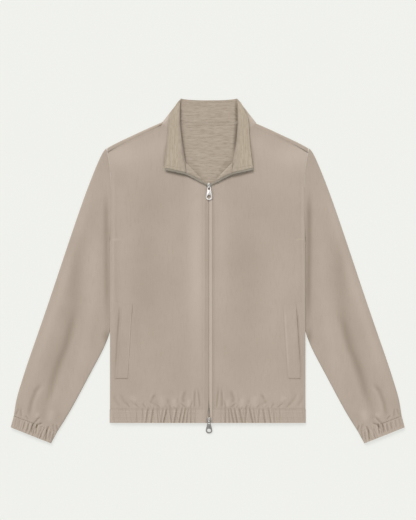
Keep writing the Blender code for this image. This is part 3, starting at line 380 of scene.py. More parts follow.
# x at the seam, x at the bottom edge, depth
HEM_VALLEYS = [
    (30.0, 30.5, 0.5), (40.6, 40.6, 0.8), (47.0, 50.6, 0.9), (53.1, 59.3, 1.2),
    (61.0, 67.2, 1.1), (72.6, 78.8, 1.2), (88.5, 84.9, 0.9), (95.6, 102.6, 1.3),
    (104.4, 108.8, 0.8), (117.6, 115.0, 0.8), (126.4, 131.0, 1.1), (138.0, 143.2, 1.0),
    (150.3, 151.5, 0.5), (164.0, 164.0, 0.4),
]
SLEEVE_CREASES = [
    (0.55, 8.0, (300, -85), (312.6, -134), (322.8, -174), (335, -200), (344.6, -226),
     (352.5, -252), (357.5, -273), (366.4, -296), (373.2, -315), (375, -334)),
    (0.7, 4.5, (376, -254), (390.7, -273), (401, -301), (402.7, -311), (405.4, -325),
     (405.4, -341)),
    (0.6, 2.0, (428.8, -312), (436.5, -330)),
    (0.6, 2.2, (424.5, -312), (422.7, -334)),
    (0.6, 2.0, (414, -328), (407, -338)),
    (0.9, 2.0, (380, -331), (393.2, -345), (397.5, -352)),
    (1.1, 1.7, (374, -345), (385.4, -349.3), (393, -360)),
    (1.0, 1.8, (360, -352), (366, -364)),
    (0.8, 2.0, (344, -349), (340, -364)),
    (0.6, 2.0, (351, -347), (348.9, -362)),
    (-0.5, 6.0, (385, -322), (389, -336)),
    (-0.5, 8.0, (352, -315), (360, -345)),
    (0.4, 6.0, (231, 184), (230, 60), (228, -120)),
]
CUFF_CREASES = [
    (1.4, 1.7, (396.2, -346), (401.1, -370)),
    (1.0, 1.5, (392.6, -346), (396.4, -374)),
    (1.1, 1.7, (387.0, -345), (390.7, -374)),
    (1.4, 1.7, (364.4, -359), (368.2, -388)),
    (0.6, 1.8, (376.6, -357), (379.3, -381)),
    (0.8, 1.8, (355.6, -363), (360.3, -388)),
    (0.7, 2.0, (348.6, -360), (352.5, -385)),
    (0.8, 1.8, (406.0, -345), (409.7, -367)),
    (0.8, 1.8, (414.8, -342), (419.3, -362)),
    (0.7, 1.8, (425.2, -337), (429.7, -358)),
    (0.6, 1.8, (433.8, -335), (438.3, -355)),
]
DEEPER = 1.25                  # all creases together
ELASTIC_ROWS = 5.1             # mm between the rows that hold the hem's elastic
HEM_SEAM, HEM_EDGE = -314.5, -345.0        # y of the hem band's two edges
CUFF_CORNER = (447.6, -354.6)  # the cuff's outer bottom corner
CUFF_SLOPE = (0.929, 0.369)    # the direction of its bottom edge
MIRROR = 3.0                   # a point x of the body lies across from MIRROR - x
ZIP_X = 3.0                    # mm from the middle to the zip and to the collar's own middle

print(len(BODY_CREASES), "body creases,", len(SLEEVE_CREASES), "on a sleeve")

# %% [markdown]
# ## Painted light and shade
# Shade falls in the cloth's hollows and light on its raised places. That shows more than the
# creases do in even light, so it is painted into the colour: broad places of painted shade and
# painted light are listed in the same way, first round patches, then lines.

# %% Tone lists
PAINTED_SHADE_PER_MM = 0.42             # how much painted shade a fold 1 mm deep gets
SHADED_SIDE = 0.18             # extra painted shadow on the wearer's left sleeve, beside the body, on the side away from the light

# middle x and y, half width and half length in mm, strength: above 0 is painted shade, below 0
# painted light
# the body's painted shade in its broad hollows and painted light beside the zip and over the
# shoulders
BODY_PAINTED_SHADING = [
    (-132, 10, 34, 160, 0.12), (-26, 20, 20, 210, -0.42), (31, 60, 16, 160, -0.16),
    (88, -10, 32, 110, 0.13), (-192, 10, 22, 170, -0.08), (170, -20, 32, 140, -0.06),
    (-196, 262, 64, 34, -0.40), (200, 262, 64, 34, -0.45), (140, 200, 50, 36, -0.15),
    (-110, 290, 30, 26, -0.20), (112, 290, 30, 26, -0.20),
]
# painted shade where the sleeve goes under the body
ARMPIT_PAINTED_SHADE = [(230, -150, 7, 16, 0.5)]
# painted light at the collar's lower corners
COLLAR_PAINTED_LIGHT = [(-100, 348, 18, 22, -0.5), (104, 348, 18, 22, -0.5)]
# strength, width, then the line's points on the wearer's left
# painted shadow that the body's raised edge casts on the sleeve
BESIDE_BODY = (0.20, 7.0, (231, 190), (230, 60), (228, -160))
# painted shade along the sleeve's long fold, and painted light on its two pale bands
SLEEVE_PAINTED_SHADING = [
    (0.26, 17.0, (300, 110), (301, 20), (304, -66), (318, -145), (336, -202), (354, -259),
     (368, -295), (376, -335)),
    BESIDE_BODY,
    (-0.24, 12.0, (262, 205), (290, 110), (331, -32), (377, -168), (420, -290)),
    (-0.14, 14.0, (258, 120), (262, -60), (290, -215), (322, -300)),
]
# Painted shade darkens the roll of the collar, where the flap stands over the lining, and the
# small wrinkles where the corner turns back; one short line there is a painted highlight.
NECK_PAINTED_SHADING = [
    (0.40, 2.6, (-61, 390), (-62.4, 360), (-63.0, 336.4), (-59.5, 308.7), (-56.1, 276.9),
     (-54.3, 254.2), (-49.7, 228)),
    (0.80, 2.8, (63.5, 392), (65.5, 360), (66.0, 333), (64.6, 301.9), (60.3, 276.9), (54.5, 248)),
    (0.5, 1.6, (58, 254), (50, 240)), (0.45, 1.4, (61, 247), (55, 236)),
    (0.4, 1.6, (50, 250), (43, 241)),
    (-0.5, 1.5, (54, 248), (47, 238)), (0.60, 1.4, (43, 248), (28, 224), (16, 210)),
    (0.12, 2.4, (-37, 248), (-22, 224), (-10, 210)),
]
# The front is dark along the collar's edge, where the flap shades it.
UNDER_COLLAR = [
    (0.55, 3.2, (-101, 228), (-97, 225.5), (-72.4, 221), (-44.7, 216), (-22, 208.5), (-8, 196)),
    (0.55, 3.2, (108, 229), (105, 227), (72.4, 217.5), (46, 212.5), (25, 205), (12, 196)),
    (0.35, 2.2, (104, 236), (103.5, 262), (97, 300)),
    (0.35, 2.2, (-100, 236), (-99, 262), (-92, 300)),
]
# Painted shade darkens the pocket's mouth, a recess, and a painted highlight makes the far side of
# its welt paler.
POCKET_LINES = [(0.30, 1.8, (201.0, -78), (212.0, -241)),
                (-0.30, 1.8, (173.0, -84), (183.0, -241))]
print(len(NECK_PAINTED_SHADING), "lines of tone on the collar")

# %% How deep one crease is
RIM_SHARE = 0.35               # how far the cloth comes up beside a crease


def soft_step(low, high, value):
    """0 below low, 1 above high and smooth between them."""
    t = np.clip((value - low) / (high - low), 0, 1)
    return t * t * (3 - 2 * t)


def crease_depth(x, y, depth, width, points, shoulder=RIM_SHARE):
    """How far one crease lowers the cloth at x, y, in mm."""
    points = np.array(points, float)
    reach = 4 * width
    low, high = points.min(axis=0) - reach, points.max(axis=0) + reach
    near = np.flatnonzero((x > low[0]) & (x < high[0]) & (y > low[1]) & (y < high[1]))
    out = np.zeros_like(x)
    if not len(near):
        return out
    lengths = np.linalg.norm(np.diff(points, axis=0), axis=1)
    ends = np.concatenate([[0], np.cumsum(lengths)])
    best = np.full(len(near), np.inf)
    signed, along_line = np.zeros(len(near)), np.zeros(len(near))
    for i, length in enumerate(lengths):
        run = (points[i + 1] - points[i]) / length
        dx, dy = x[near] - points[i, 0], y[near] - points[i, 1]
        t = np.clip(dx * run[0] + dy * run[1], 0, length)
        distance = np.hypot(dx - t * run[0], dy - t * run[1])
        closer = distance < best
        best = np.where(closer, distance, best)
        side = np.sign(dx * run[1] - dy * run[0])
        signed = np.where(closer, distance * side, signed)
        along_line = np.where(closer, ends[i] + t, along_line)
    share = along_line / ends[-1]
    hump = np.sin(np.pi * (0.5 * share + 0.25)) ** 2
    fade = soft_step(0, 0.25, share) * soft_step(0, 0.4, 1 - share)
    fade += 0.35 * hump * soft_step(-0.1, 0.1, share)
    dip = np.exp(-(signed / width) ** 2)
    rise = np.exp(-((signed - 1.9 * width) / (1.1 * width)) ** 2)
    out[near] = depth * np.clip(fade, 0, 1) * (dip - shoulder * rise)
    return out


def creases(x, y, lines, shoulder=RIM_SHARE):
    """Sum of a list of lines."""
    return sum(crease_depth(x, y, depth, width, points, shoulder)
               for depth, width, *points in lines)


def patches(x, y, places):
    """Sum of a list of soft round patches."""
    return sum(strength * np.exp(-((x - px) / half_x) ** 2 - ((y - py) / half_y) ** 2)
               for px, py, half_x, half_y, strength in places)


middle = np.array([32.9]), np.array([-292.0])
print("the first crease is", creases(*middle, BODY_CREASES[:1]).round(2), "mm deep")

# %% [markdown]
# ## Gathers
# The hem and the cuffs are drawn in by elastic. Its pull makes a few deep valleys, which are
# listed, and many small ones between them, which come from a sum of waves of unlike length, so
# that no two are alike. Rows of stitches hold the hem's elastic flat.

# %% Gathers
VALLEY_WIDTH, RIDGE_WIDTH = 1.8, 2.2       # mm, half width of a valley and of the ridge beside it
GATHERED = (24, 34, 214, 220)  # mm from the middle: the gathers begin and end softly
BAND_DEPTH, ROW_DEPTH, CUFF_DEPTH = 0.45, 0.30, 0.38   # mm
CUFF_BAND = (21, 31)           # mm up the cuff, where its gathers fade


def hem_valley(x, y, top, bottom, depth):
    """A gather of the hem: a valley from the seam to the bottom edge, open at both ends."""
    share = np.clip((HEM_SEAM - y) / (HEM_SEAM - HEM_EDGE), -0.4, 1.0)
    distance = x - (top + (bottom - top) * share)
    deep = soft_step(-0.35, 0.15, share) * (0.75 + 0.25 * share)
    valley = np.exp(-(distance / VALLEY_WIDTH) ** 2)
    ridge = np.exp(-((distance - 2 * VALLEY_WIDTH) / RIDGE_WIDTH) ** 2)
    return depth * deep * (valley - 0.4 * ridge)


def fine_gathers(place):
    """Small uneven valleys of cloth drawn in by an elastic, 0 to 1, about 5 mm apart."""
    waves = (np.sin(place * 1.31 + 0.7) + 0.8 * np.sin(place * 0.83 + 2.1)
             + 0.6 * np.sin(place * 1.97 + 4.0))
    return np.clip(waves, 0, None) / 2.4


def hem_band(x, y):
    """The band's fine gathers and the rows where its elastic is stitched down."""
    away = np.abs(x - MIRROR / 2)
    gathered = soft_step(*GATHERED[:2], away) * (1 - soft_step(*GATHERED[2:], away))
    in_band = 1 - soft_step(HEM_SEAM - 2, HEM_SEAM + 7, y)
    rows = 0.5 - 0.5 * np.cos((y - HEM_SEAM) * 2 * math.pi / ELASTIC_ROWS)
    rows *= 1 - soft_step(HEM_SEAM - 1, HEM_SEAM, y)
    return gathered * (in_band * BAND_DEPTH * fine_gathers(x + 0.18 * y) + ROW_DEPTH * rows)


def up_the_cuff(x, y):
    """How far above the cuff's bottom edge a point lies, in mm."""
    return (np.abs(x) - CUFF_CORNER[0]) * -CUFF_SLOPE[1] + (y - CUFF_CORNER[1]) * CUFF_SLOPE[0]


def cuff_band(x, y):
    """The cuff's fine gathers, which run across its bottom edge."""
    along_edge = np.abs(x) * CUFF_SLOPE[0] + y * CUFF_SLOPE[1]
    return CUFF_DEPTH * fine_gathers(along_edge * 1.1) * (
        1 - soft_step(*CUFF_BAND, up_the_cuff(x, y)))


# %% All creases of the body and of the sleeves
FINE_WIDTH = 4.5               # mm; narrower creases need finer faces


def body_relief(x, y):
    """How far the body's creases lower the cloth at x, y, in mm."""
    total = np.zeros_like(x)
    for across in (x, MIRROR - x):
        total += creases(across, y, BODY_CREASES)
        for top, bottom, depth in HEM_VALLEYS:
            total += hem_valley(across, y, top, bottom, depth) * (across > 20)
    return total * DEEPER + hem_band(x, y)


def sleeve_relief(x, y):
    """The same for both sleeves and their cuffs."""
    return DEEPER * creases(np.abs(x), y, SLEEVE_CREASES + CUFF_CREASES) + cuff_band(x, y)


def near_fine_crease(x, y):
    """Where narrow creases and gathers lie, with some room round them."""
    found = np.zeros(len(x), bool)
    for across in (x, MIRROR - x, -x):
        for _, width, *points in BODY_CREASES + SLEEVE_CREASES + CUFF_CREASES:
            if width < FINE_WIDTH:
                found |= np.abs(crease_depth(across, y, 1.0, width + 2.0, points, 0.0)) > 0.02
    on_hem = (y < HEM_SEAM + 6) & (np.abs(x) < 222) & (np.abs(x) > 18)
    on_cuff = (up_the_cuff(x, y) < CUFF_BAND[1] - 1) & (np.abs(x) > 300)
    return found | on_hem | on_cuff


print("hem", HEM_SEAM - HEM_EDGE, "mm deep, elastic rows", ELASTIC_ROWS, "mm apart")

# %% Tone of each piece
# the body's listed painted light and shade
def body_tone(x, y):
    return patches(x, y, BODY_PAINTED_SHADING)


def front_tone(x, y):
    """The body's painted light and shade, the painted shadow along the collar and the pocket's
    painted shade and highlight.
    """
    return (body_tone(x, y) + creases(x, y, UNDER_COLLAR, 0.0)
            + creases(np.abs(x - MIRROR / 2), y, POCKET_LINES, 0.0))


def hem_tone(x, y):
    """The hem gets half of the body's painted light and shade and is paler than the front above
    it.
    """
    return 0.5 * body_tone(x, y) - 0.14


# painted light and shade along the sleeve, painted shade at the armpit and, on the wearer's left,
# extra painted shadow beside the body
def sleeve_tone(x, y):
    across = np.abs(x)
    shade = crease_depth(x, y, SHADED_SIDE, BESIDE_BODY[1], BESIDE_BODY[2:], 0.0)
    return creases(across, y, SLEEVE_PAINTED_SHADING, 0.0) + patches(across, y, ARMPIT_PAINTED_SHADE) + shade


def cuff_tone(x, y):
    return np.full(len(x), -0.12)


def neck_tone(x, y):
    """Painted shade along the collar's roll and its wrinkles, with one painted highlight; the
    flaps are a little paler than the lining between them.
    """
    on_flap = soft_step(62, 70, np.abs(x - ZIP_X))
    return creases(x, y, NECK_PAINTED_SHADING, 0.0) - 0.14 * on_flap


# painted light at the collar's lower corners
def collar_tone(x, y):
    return patches(x, y, COLLAR_PAINTED_LIGHT)


def lip_tone(x, y):
    """A painted highlight on top of the wearer's left lip and painted shade at its sewn edge; the
    right one, which lies lower, gets painted shade all over."""
    out = x - ZIP_X
    left = -0.34 + 0.60 * soft_step(6.4, 8.4, out)
    return np.where(out > 0, left, 0.12)


print("tone beside the zip", body_tone(np.array([-26.0]), np.array([20.0])))

# %% [markdown]
# ## Dressing a solid in cloth
# Each piece of cloth starts as a copy of its solid's surface. The copy is welded, its triangles
# are joined back to four-sided faces, and a Subdivision Surface rounds it into a smooth thin
# shell. Only then do the creases lower its upper layer. Sharp edges of the wall are creased
# first, so that the rim stays a rim. Faces near narrow creases are split further, so that no
# faces are spent where the cloth is smooth.

# %% Copies of solids
WELD = 0.01 * MM
RIM_ANGLE = math.radians(58)   # sharper edges of a wall keep their form
FLAT_ANGLE, SKEW_ANGLE = math.radians(50), math.radians(60)


def new_object(name, mesh):
    """An object at the origin, in the scene."""
    made = bpy.data.objects.new(name, mesh)
    bpy.context.scene.collection.objects.link(made)
    return made


def welded(node, distance):
    """A solid's surface with its loose triangles joined at their corners."""
    work = bmesh.new()
    work.from_mesh(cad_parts[node].data)
    bmesh.ops.remove_doubles(work, verts=work.verts, dist=distance)
    return work


def cloth_copy(node):
    """A copy of a solid's surface, made of four-sided faces where it can be."""
    work = welded(node, WELD)
    bmesh.ops.join_triangles(work, faces=work.faces, angle_face_threshold=FLAT_ANGLE,
                             angle_shape_threshold=SKEW_ANGLE)
    rim = work.edges.layers.float.new("crease_edge")
    for edge in work.edges:
        if len(edge.link_faces) != 2 or edge.calc_face_angle(0.0) > RIM_ANGLE:
            edge[rim] = 1.0
            edge.smooth = False
    mesh = bpy.data.meshes.new(node + "_cloth")
    work.to_mesh(mesh)
    work.free()
    for spare in ("custom_normal", "sharp_face"):
        if spare in mesh.attributes:
            mesh.attributes.remove(mesh.attributes[spare])
    return new_object(mesh.name, mesh)


def select_only(piece):
    bpy.ops.object.select_all(action="DESELECT")
    piece.select_set(True)
    bpy.context.view_layer.objects.active = piece


def apply_modifiers(piece):
    select_only(piece)
    for modifier in list(piece.modifiers):
        bpy.ops.object.modifier_apply(modifier=modifier.name)


def select_faces(piece, wanted):
    """In Edit Mode, selects the faces for which wanted is true, and no others."""
    bpy.ops.mesh.select_all(action="DESELECT")
    work = bmesh.from_edit_mesh(piece.data)
    for face in work.faces:
        face.select_set(wanted(face))
    bmesh.update_edit_mesh(piece.data)


def points_of(piece):
    """The piece's points, in mm."""
    flat = np.empty(len(piece.data.vertices) * 3)
    piece.data.vertices.foreach_get("co", flat)
    return flat.reshape(-1, 3) / MM


def put_points(piece, points):
    """Moves the piece's points, given in mm."""
    piece.data.vertices.foreach_set("co", (points * MM).ravel())
    piece.data.update()


print("the back has", len(points_of(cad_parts["back"])), "points before it is welded")

# %% Dressing
FINE_EDGE = 1.9                # mm; longer edges are split where a narrow crease lies
UPPER = (2.4, 4.2)             # mm; only cloth above this height is creased
SHARP_ANGLE = math.radians(60)


def refine(piece):
    """Splits the upper faces near narrow creases, so that these come out smooth."""
    work = bmesh.new()
    work.from_mesh(piece.data)
    points = np.array([corner.co for corner in work.verts]) / MM
    near = near_fine_crease(points[:, 0], points[:, 1]) & (points[:, 2] > UPPER[0])
    split = [edge for edge in work.edges
             if near[edge.verts[0].index] and near[edge.verts[1].index]
             and edge.calc_length() > FINE_EDGE * MM]
    bmesh.ops.subdivide_edges(work, edges=split, cuts=1, use_grid_fill=True)
    work.to_mesh(piece.data)
    work.free()


def give_fold(piece, tone):
    """Writes the attribute called fold, which the materials paint as shade above 0 and as
    highlight below 0.
    """
    layer = piece.data.attributes.new("fold", "FLOAT", "POINT")
    layer.data.foreach_set("value", np.clip(tone, -1, 1).astype(np.float32))


def dress(node, levels, finish_with, relief=None, tone=None, shape=None, extend=None):
    """A solid's cloth: rounded, creased on its upper layer and given its material."""
    piece = cloth_copy(node)
    if shape is not None:
        points = points_of(piece)
        shape(points)
        put_points(piece, points)
    if extend is not None:
        extend(piece)
    smooth = piece.modifiers.new("smooth", "SUBSURF")
    smooth.levels = smooth.render_levels = levels
    apply_modifiers(piece)
    if relief is not None:
        refine(piece)
        refine(piece)
    points = points_of(piece)
    x, y, z = points.T
    top = soft_step(*UPPER, z)
    lowered = top * relief(x, y) if relief is not None else 0.0 * top
    # the piece's listed painted light and shade
    wash_and_painted_light = tone(x, y) if tone is not None else 0.0 * top
    points[:, 2] = np.maximum(z - lowered, 0.0)
    put_points(piece, points)
    # fold: painted shade in each crease by its depth, plus the listed painted light and shade
    give_fold(piece, PAINTED_SHADE_PER_MM * lowered + wash_and_painted_light)
    piece.data.shade_smooth()
    piece.data.set_sharp_from_angle(angle=SHARP_ANGLE)
    piece.data.materials.clear()
    piece.data.materials.append(finish_with)
    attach(piece, "jacket")
    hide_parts(node)
    return piece


# %% [markdown]
# ## Closing the seams
# The solids keep a small gap at every seam, and on the real jacket two pieces of cloth meet
# there. Before a piece is rounded, the few points along such an edge move over to the
# neighbour. The zip's lips close over the teeth, the turned-back corner meets the flap, and the
# collar's lower corner covers the point where the front, the shoulder and the collar meet.

# %% Edges that meet
ARMHOLE_LINE = ((72, 85, 100, 130, 160, 190, 220, 240, 262),
                (221.2, 220.6, 220.4, 220.1, 219.9, 220.0, 220.8, 222.8, 226.0))   # y, x
SHOULDER_END = 106.5           # mm from the zip; inside it lies the front's top corner
NECK_CORNER = (91.2, 321.7)    # from the zip, y: where the collar's lower edge leaves the flap
LIP_MEET = 1.9                 # mm from the zip; lip points inside it move in


def close_armhole(points, move):
    """Moves the points within 1.6 mm of the armhole's line, so that its two pieces meet."""
    x, y, _ = points.T
    line = np.interp(y, *ARMHOLE_LINE)
    on_seam = (np.abs(np.abs(x) - line) < 1.6) & (y > 70) & (y < 262)
    x[on_seam] += move * np.sign(x[on_seam])


def sleeve_to_front(points):
    close_armhole(points, -0.3)


def front_to_sleeve(points):
    """The front meets the sleeve, the shoulder's strip and the hem, and its top corner fills the
    place between the collar and the shoulder."""
    close_armhole(points, 0.4)
    x, y, _ = points.T
    across = np.abs(x - ZIP_X)
    highest = np.array([y[np.abs(x - each) < 1.0].max() for each in x])
    y[(y > 262) & (y > highest - 0.4) & (across > SHOULDER_END)] += 0.5
    corner = (y > 327.5) & (across < SHOULDER_END)
    share = soft_step(97.6, 105.3, across)
    y[corner] += 5.2 * share[corner]
    x[corner] += 1.6 * (share * np.sign(x))[corner]
    y[y < HEM_SEAM + 0.6] -= 0.1


def hem_to_front(points):
    y = points[:, 1]
    y[y > HEM_SEAM - 1.2] += 0.15


def cuff_to_sleeve(points):
    """The cuff's upper edge moves up its own slope."""
    x, y, _ = points.T
    up = up_the_cuff(x, y)
    at_seam = up > up.max() - 1.0
    x[at_seam] -= 0.55 * CUFF_SLOPE[1] * np.sign(x[at_seam])
    y[at_seam] += 0.55 * CUFF_SLOPE[0]


def collar_to_front(points):
    """The collar's lower corners reach the fronts and the shoulders."""
    x, y, _ = points.T
    side = np.sign(x - ZIP_X)
    out, up = np.abs(x - ZIP_X) - NECK_CORNER[0], y - NECK_CORNER[1]
    share = soft_step(-6.0, -0.3, out * 0.8 - up * 0.6)
    share *= 0.25 + 0.75 * soft_step(2.0, 20.0, out * 0.6 + up * 0.8)
    share *= (out > -8) & (up > -8) & (up < 26)
    x += 2.6 * share * side
    y -= 3.2 * share


def lining_to_collar(points):
    y = points[:, 1]
    y[y > 333] += 0.65


def corner_to_flap(points):
    """The turned-back corner meets the collar's flap."""
    x = points[:, 0]
    out = x - ZIP_X
    x += 1.5 * soft_step(44, 50, np.abs(out)) * np.sign(out)


def close_lips(points):
    """The lips' folded edges meet over the zip, down to where the hem parts them."""
    x, y, _ = points.T
    from_zip = x - ZIP_X
    moves = (np.abs(from_zip) < LIP_MEET) & (y > -312)
    x[moves] -= 0.72 * np.sign(from_zip[moves])


def soften_welt(points):
    """The welt's inner side thins out and comes down to the front, so that it hardly shows."""
    x, y, z = points.T
    mouth = np.interp(y, (-243.0, -76.0), (211.0, 200.0))
    inward = soft_step(8.0, 29.0, mouth - np.abs(x))
    ends = 1 - soft_step(1.0, 4.0, 83.5 - np.abs(y + 159.5))
    z -= 0.42 * np.maximum(inward, ends)


print("armhole seam from y", ARMHOLE_LINE[0][0], "to", ARMHOLE_LINE[0][-1], "mm")

# %% The end of the open tape
# x outwards, y and z of each step in mm, then how much narrower the end gets
TAPE_STEPS = [((-7.5, -3.4, -0.3), 0.9), ((-6.0, -4.6, -0.5), 0.8)]


def lengthen_tape(piece):
    """The open tape is drawn on from the solid's end to the slider."""
    side = 1 if points_of(piece)[:, 0].mean() > 0 else -1
    select_only(piece)
    bpy.ops.object.mode_set(mode="EDIT")
    work = bmesh.from_edit_mesh(piece.data)

    def from_zip(face):
        return (face.calc_center_median().x / MM - ZIP_X) * side

    end = min(from_zip(face) for face in work.faces)
    select_faces(piece, lambda face: from_zip(face) < end + 2.5 and face.normal.x * side < -0.6)
    for (out, up, high), narrower in TAPE_STEPS:
        move = Vector((out * side, up, high)) * MM
        bpy.ops.mesh.extrude_region_move(TRANSFORM_OT_translate={"value": move})
        bpy.ops.transform.resize(value=(narrower, narrower, 1.0))
    bpy.ops.object.mode_set(mode="OBJECT")


print(len(TAPE_STEPS), "steps to the slider")

# %% [markdown]
# ## The shell
# A table says for each piece of shell cloth how finely it is rounded, which creases and tones it
# gets and which of its edges move. The back and the hem's back lie underneath, so they stay plain.

# %% Dress the shell
def both_sides(table):
    """The rows of a table by node, with the side; * in a name stands for left and right."""
    for name, row in table.items():
        for side in ("left", "right") if "*" in name else ("",):
            yield name.replace("*", side), side, row


# node: subdivision levels, relief, tone, change of form
SHELL_PIECES = {
    "back": (2, None, None, None),
    "front_*": (3, body_relief, front_tone, front_to_sleeve),
    "zip_lip_*": (2, body_relief, lip_tone, close_lips),
    "pocket_welt_*": (3, body_relief, front_tone, soften_welt),
    "hem_front_*": (3, body_relief, hem_tone, hem_to_front),
    "hem_back": (2, None, None, None),
    "sleeve_*": (3, sleeve_relief, sleeve_tone, sleeve_to_front),
    "cuff_*": (3, sleeve_relief, cuff_tone, cuff_to_sleeve),
    "collar_outer": (2, None, collar_tone, collar_to_front),
}
cloth = {}
for node, _, (levels, relief, tone, shape) in both_sides(SHELL_PIECES):
    cloth[node] = dress(node, levels, shell, relief, tone, shape)
    print(node, len(cloth[node].data.polygons), "faces")

# %% Dress the zip and the jersey
for node, _, extend in both_sides({"zip_chain": None, "zip_tape_*": lengthen_tape}):
    cloth[node] = dress(node, 2, tape_cloth, extend=extend)
JERSEY_PIECES = {
    # node: subdivision levels, change of form
    "collar_inner": (2, None), "lapel_*": (3, corner_to_flap),
    "back_lining": (2, lining_to_collar),
}
for node, _, (levels, shape) in both_sides(JERSEY_PIECES):
    cloth[node] = dress(node, levels, jersey, tone=neck_tone, shape=shape)
    print(node, len(cloth[node].data.polygons), "faces")

# %% [markdown]
# ## The jersey's grain
# Knitted cloth is cut with its wales along each piece. Across the back of the neck and the lining
# they run from side to side, and on the turned-back flaps they run along the flap. Each face
# takes one of the two directions by its place, and that becomes the UV map that the streaks
# follow.

# %% Grain
# y, then x from the zip
FLAP_MIDDLE = ((225, 300, 350, 385), (76, 76, 77, 65))
ROLL_LINE = ((206, 224, 257, 291, 329, 372, 392), (17, 50, 54, 58.5, 63, 63.5, 56))
FLAP_HEIGHT = 4.0              # mm; lower faces belong to the collar's back
FLAP_APART = 300               # mm; keeps the flap's streaks unlike the lining's


def corners_of(piece):
    """For each face corner its point and the centre of its face, in mm."""
    mesh = piece.data
    index = np.empty(len(mesh.loops), np.int32)
    mesh.loops.foreach_get("vertex_index", index)
    totals = np.empty(len(mesh.polygons), np.int32)
    mesh.polygons.foreach_get("loop_total", totals)
    centres = np.empty(len(mesh.polygons) * 3)
    mesh.polygons.foreach_get("center", centres)
    return points_of(piece)[index], np.repeat(centres.reshape(-1, 3) / MM, totals, axis=0)


def give_grain(piece):
    """Writes the UV map called grain, in metres."""
    points, centres = corners_of(piece)
    across = np.abs(points[:, 0] - ZIP_X)
    on_flap = np.abs(centres[:, 0] - ZIP_X) > np.interp(centres[:, 1], *ROLL_LINE)
    on_flap &= centres[:, 2] > FLAP_HEIGHT
    from_middle = across - np.interp(points[:, 1], *FLAP_MIDDLE) + FLAP_APART
    along_flap = np.column_stack([points[:, 1], from_middle])
    where = np.where(on_flap[:, None], along_flap, points[:, :2])
    layer = piece.data.uv_layers.new(name="grain")
    layer.data.foreach_set("uv", (where * MM).astype(np.float32).ravel())
    return on_flap.mean()


for node, *_ in both_sides(JERSEY_PIECES):
    print(node, f"{give_grain(cloth[node]):.0%} along the flap")

# %% [markdown]
# ## Stitches
# Lockstitch seams show as short dashes, each pulled a little into the cloth. One stitch is
# modelled from a six-sided rod with tapered ends and copied along each seam. A ray from above
# finds the cloth below each stitch, so the rows follow every crease.

# %% One stitch
STITCH_LENGTH, STITCH_PITCH, THREAD_RADIUS = 2.5, 3.3, 0.24
ROD_SHARE, END_SHARE = 0.6, 0.2            # of the length: the rod and each tapered end
END_DIP, END_TAPER = 0.12, 0.45

bpy.ops.mesh.primitive_cylinder_add(vertices=6, radius=THREAD_RADIUS * MM,
                                    depth=STITCH_LENGTH * ROD_SHARE * MM,
                                    rotation=(0.0, math.radians(90), 0.0))
stitch = bpy.context.object
bpy.ops.object.transform_apply(rotation=True)
bpy.ops.object.mode_set(mode="EDIT")
for end in (1, -1):
    select_faces(stitch, lambda face: face.normal.x * end > 0.9)
    move = (end * STITCH_LENGTH * END_SHARE * MM, 0, -END_DIP * MM)
    bpy.ops.mesh.extrude_region_move(TRANSFORM_OT_translate={"value": move})
    bpy.ops.transform.resize(value=(1.0, END_TAPER, END_TAPER))
bpy.ops.object.mode_set(mode="OBJECT")
print("stitch", len(stitch.data.polygons), "faces")

# %% Copying one small thing along a seam
SMALL_SHARP = math.radians(50)


def copies(name, model, places, finish_with):
    """One joined mesh of a small model at many places, each place a 4x4 matrix."""
    count = len(model.data.vertices)
    base = np.empty(count * 3)
    model.data.vertices.foreach_get("co", base)
    base = np.column_stack([base.reshape(-1, 3), np.ones(count)])
    sides = [list(face.vertices) for face in model.data.polygons]
    points = np.concatenate([(base @ np.array(place).T)[:, :3] for place in places])
    faces = [[v + i * count for v in side] for i in range(len(places)) for side in sides]
    mesh = bpy.data.meshes.new(name)
    mesh.from_pydata(points.tolist(), [], faces)
    mesh.materials.append(finish_with)
    mesh.shade_smooth()
    mesh.set_sharp_from_angle(angle=SMALL_SHARP)
    made = new_object(name, mesh)
    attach(made, "jacket")
    print(name, len(places), "copies")


def spaced(points, pitch):
    """Points at an even pitch along a line of straight runs, with their directions."""
    points = np.array(points, float)
    lengths = np.linalg.norm(np.diff(points, axis=0), axis=1)
    ends = np.concatenate([[0], np.cumsum(lengths)])
    at = np.arange(pitch / 2, ends[-1], pitch)
    spots = np.column_stack([np.interp(at, ends, points[:, i]) for i in range(points.shape[1])])
    return spots, np.gradient(spots, axis=0)


# %% Rows of stitches on the cloth
ABOVE_ALL = 60.0               # mm; rays down start here
UNDER_ALL = 0.1 - FLOOR_DROP / MM          # and rays up here, between the floor and the back
SUNK = 0.05                    # mm from the cloth to the thread's middle
LOWEST_TOP = 0.2               # mm; a ray down that hits lower has missed the cloth
DOWN, UP = -1, 1


def surface_at(x, y, start=ABOVE_ALL, way=DOWN):
    """The first cloth that a ray down or up meets, in mm, and its normal."""
    graph = bpy.context.evaluated_depsgraph_get()
    hit, spot, normal, *_ = bpy.context.scene.ray_cast(
        graph, Vector((x * MM, y * MM, start * MM)), Vector((0, 0, way)))
    return (np.array(spot) / MM, np.array(normal)) if hit else (None, None)


def stitch_places(points, way=DOWN):
    """Where the stitches of one row lie on the cloth."""
    places = []
    for (x, y), run in zip(*spaced(points, STITCH_PITCH)):
        spot, normal = surface_at(x, y, ABOVE_ALL if way == DOWN else UNDER_ALL, way)
        if spot is None or (way == DOWN and spot[2] < LOWEST_TOP):
            continue
        up = Vector(normal if normal[2] * way < 0 else -normal).normalized()
        ahead = Vector((*run, 0.0))
        ahead = (ahead - up * ahead.dot(up)).normalized()
        turn = Matrix((ahead, up.cross(ahead), up)).transposed().to_4x4()
        places.append(Matrix.Translation(Vector(spot + np.array(up) * SUNK) * MM) @ turn)
    return places


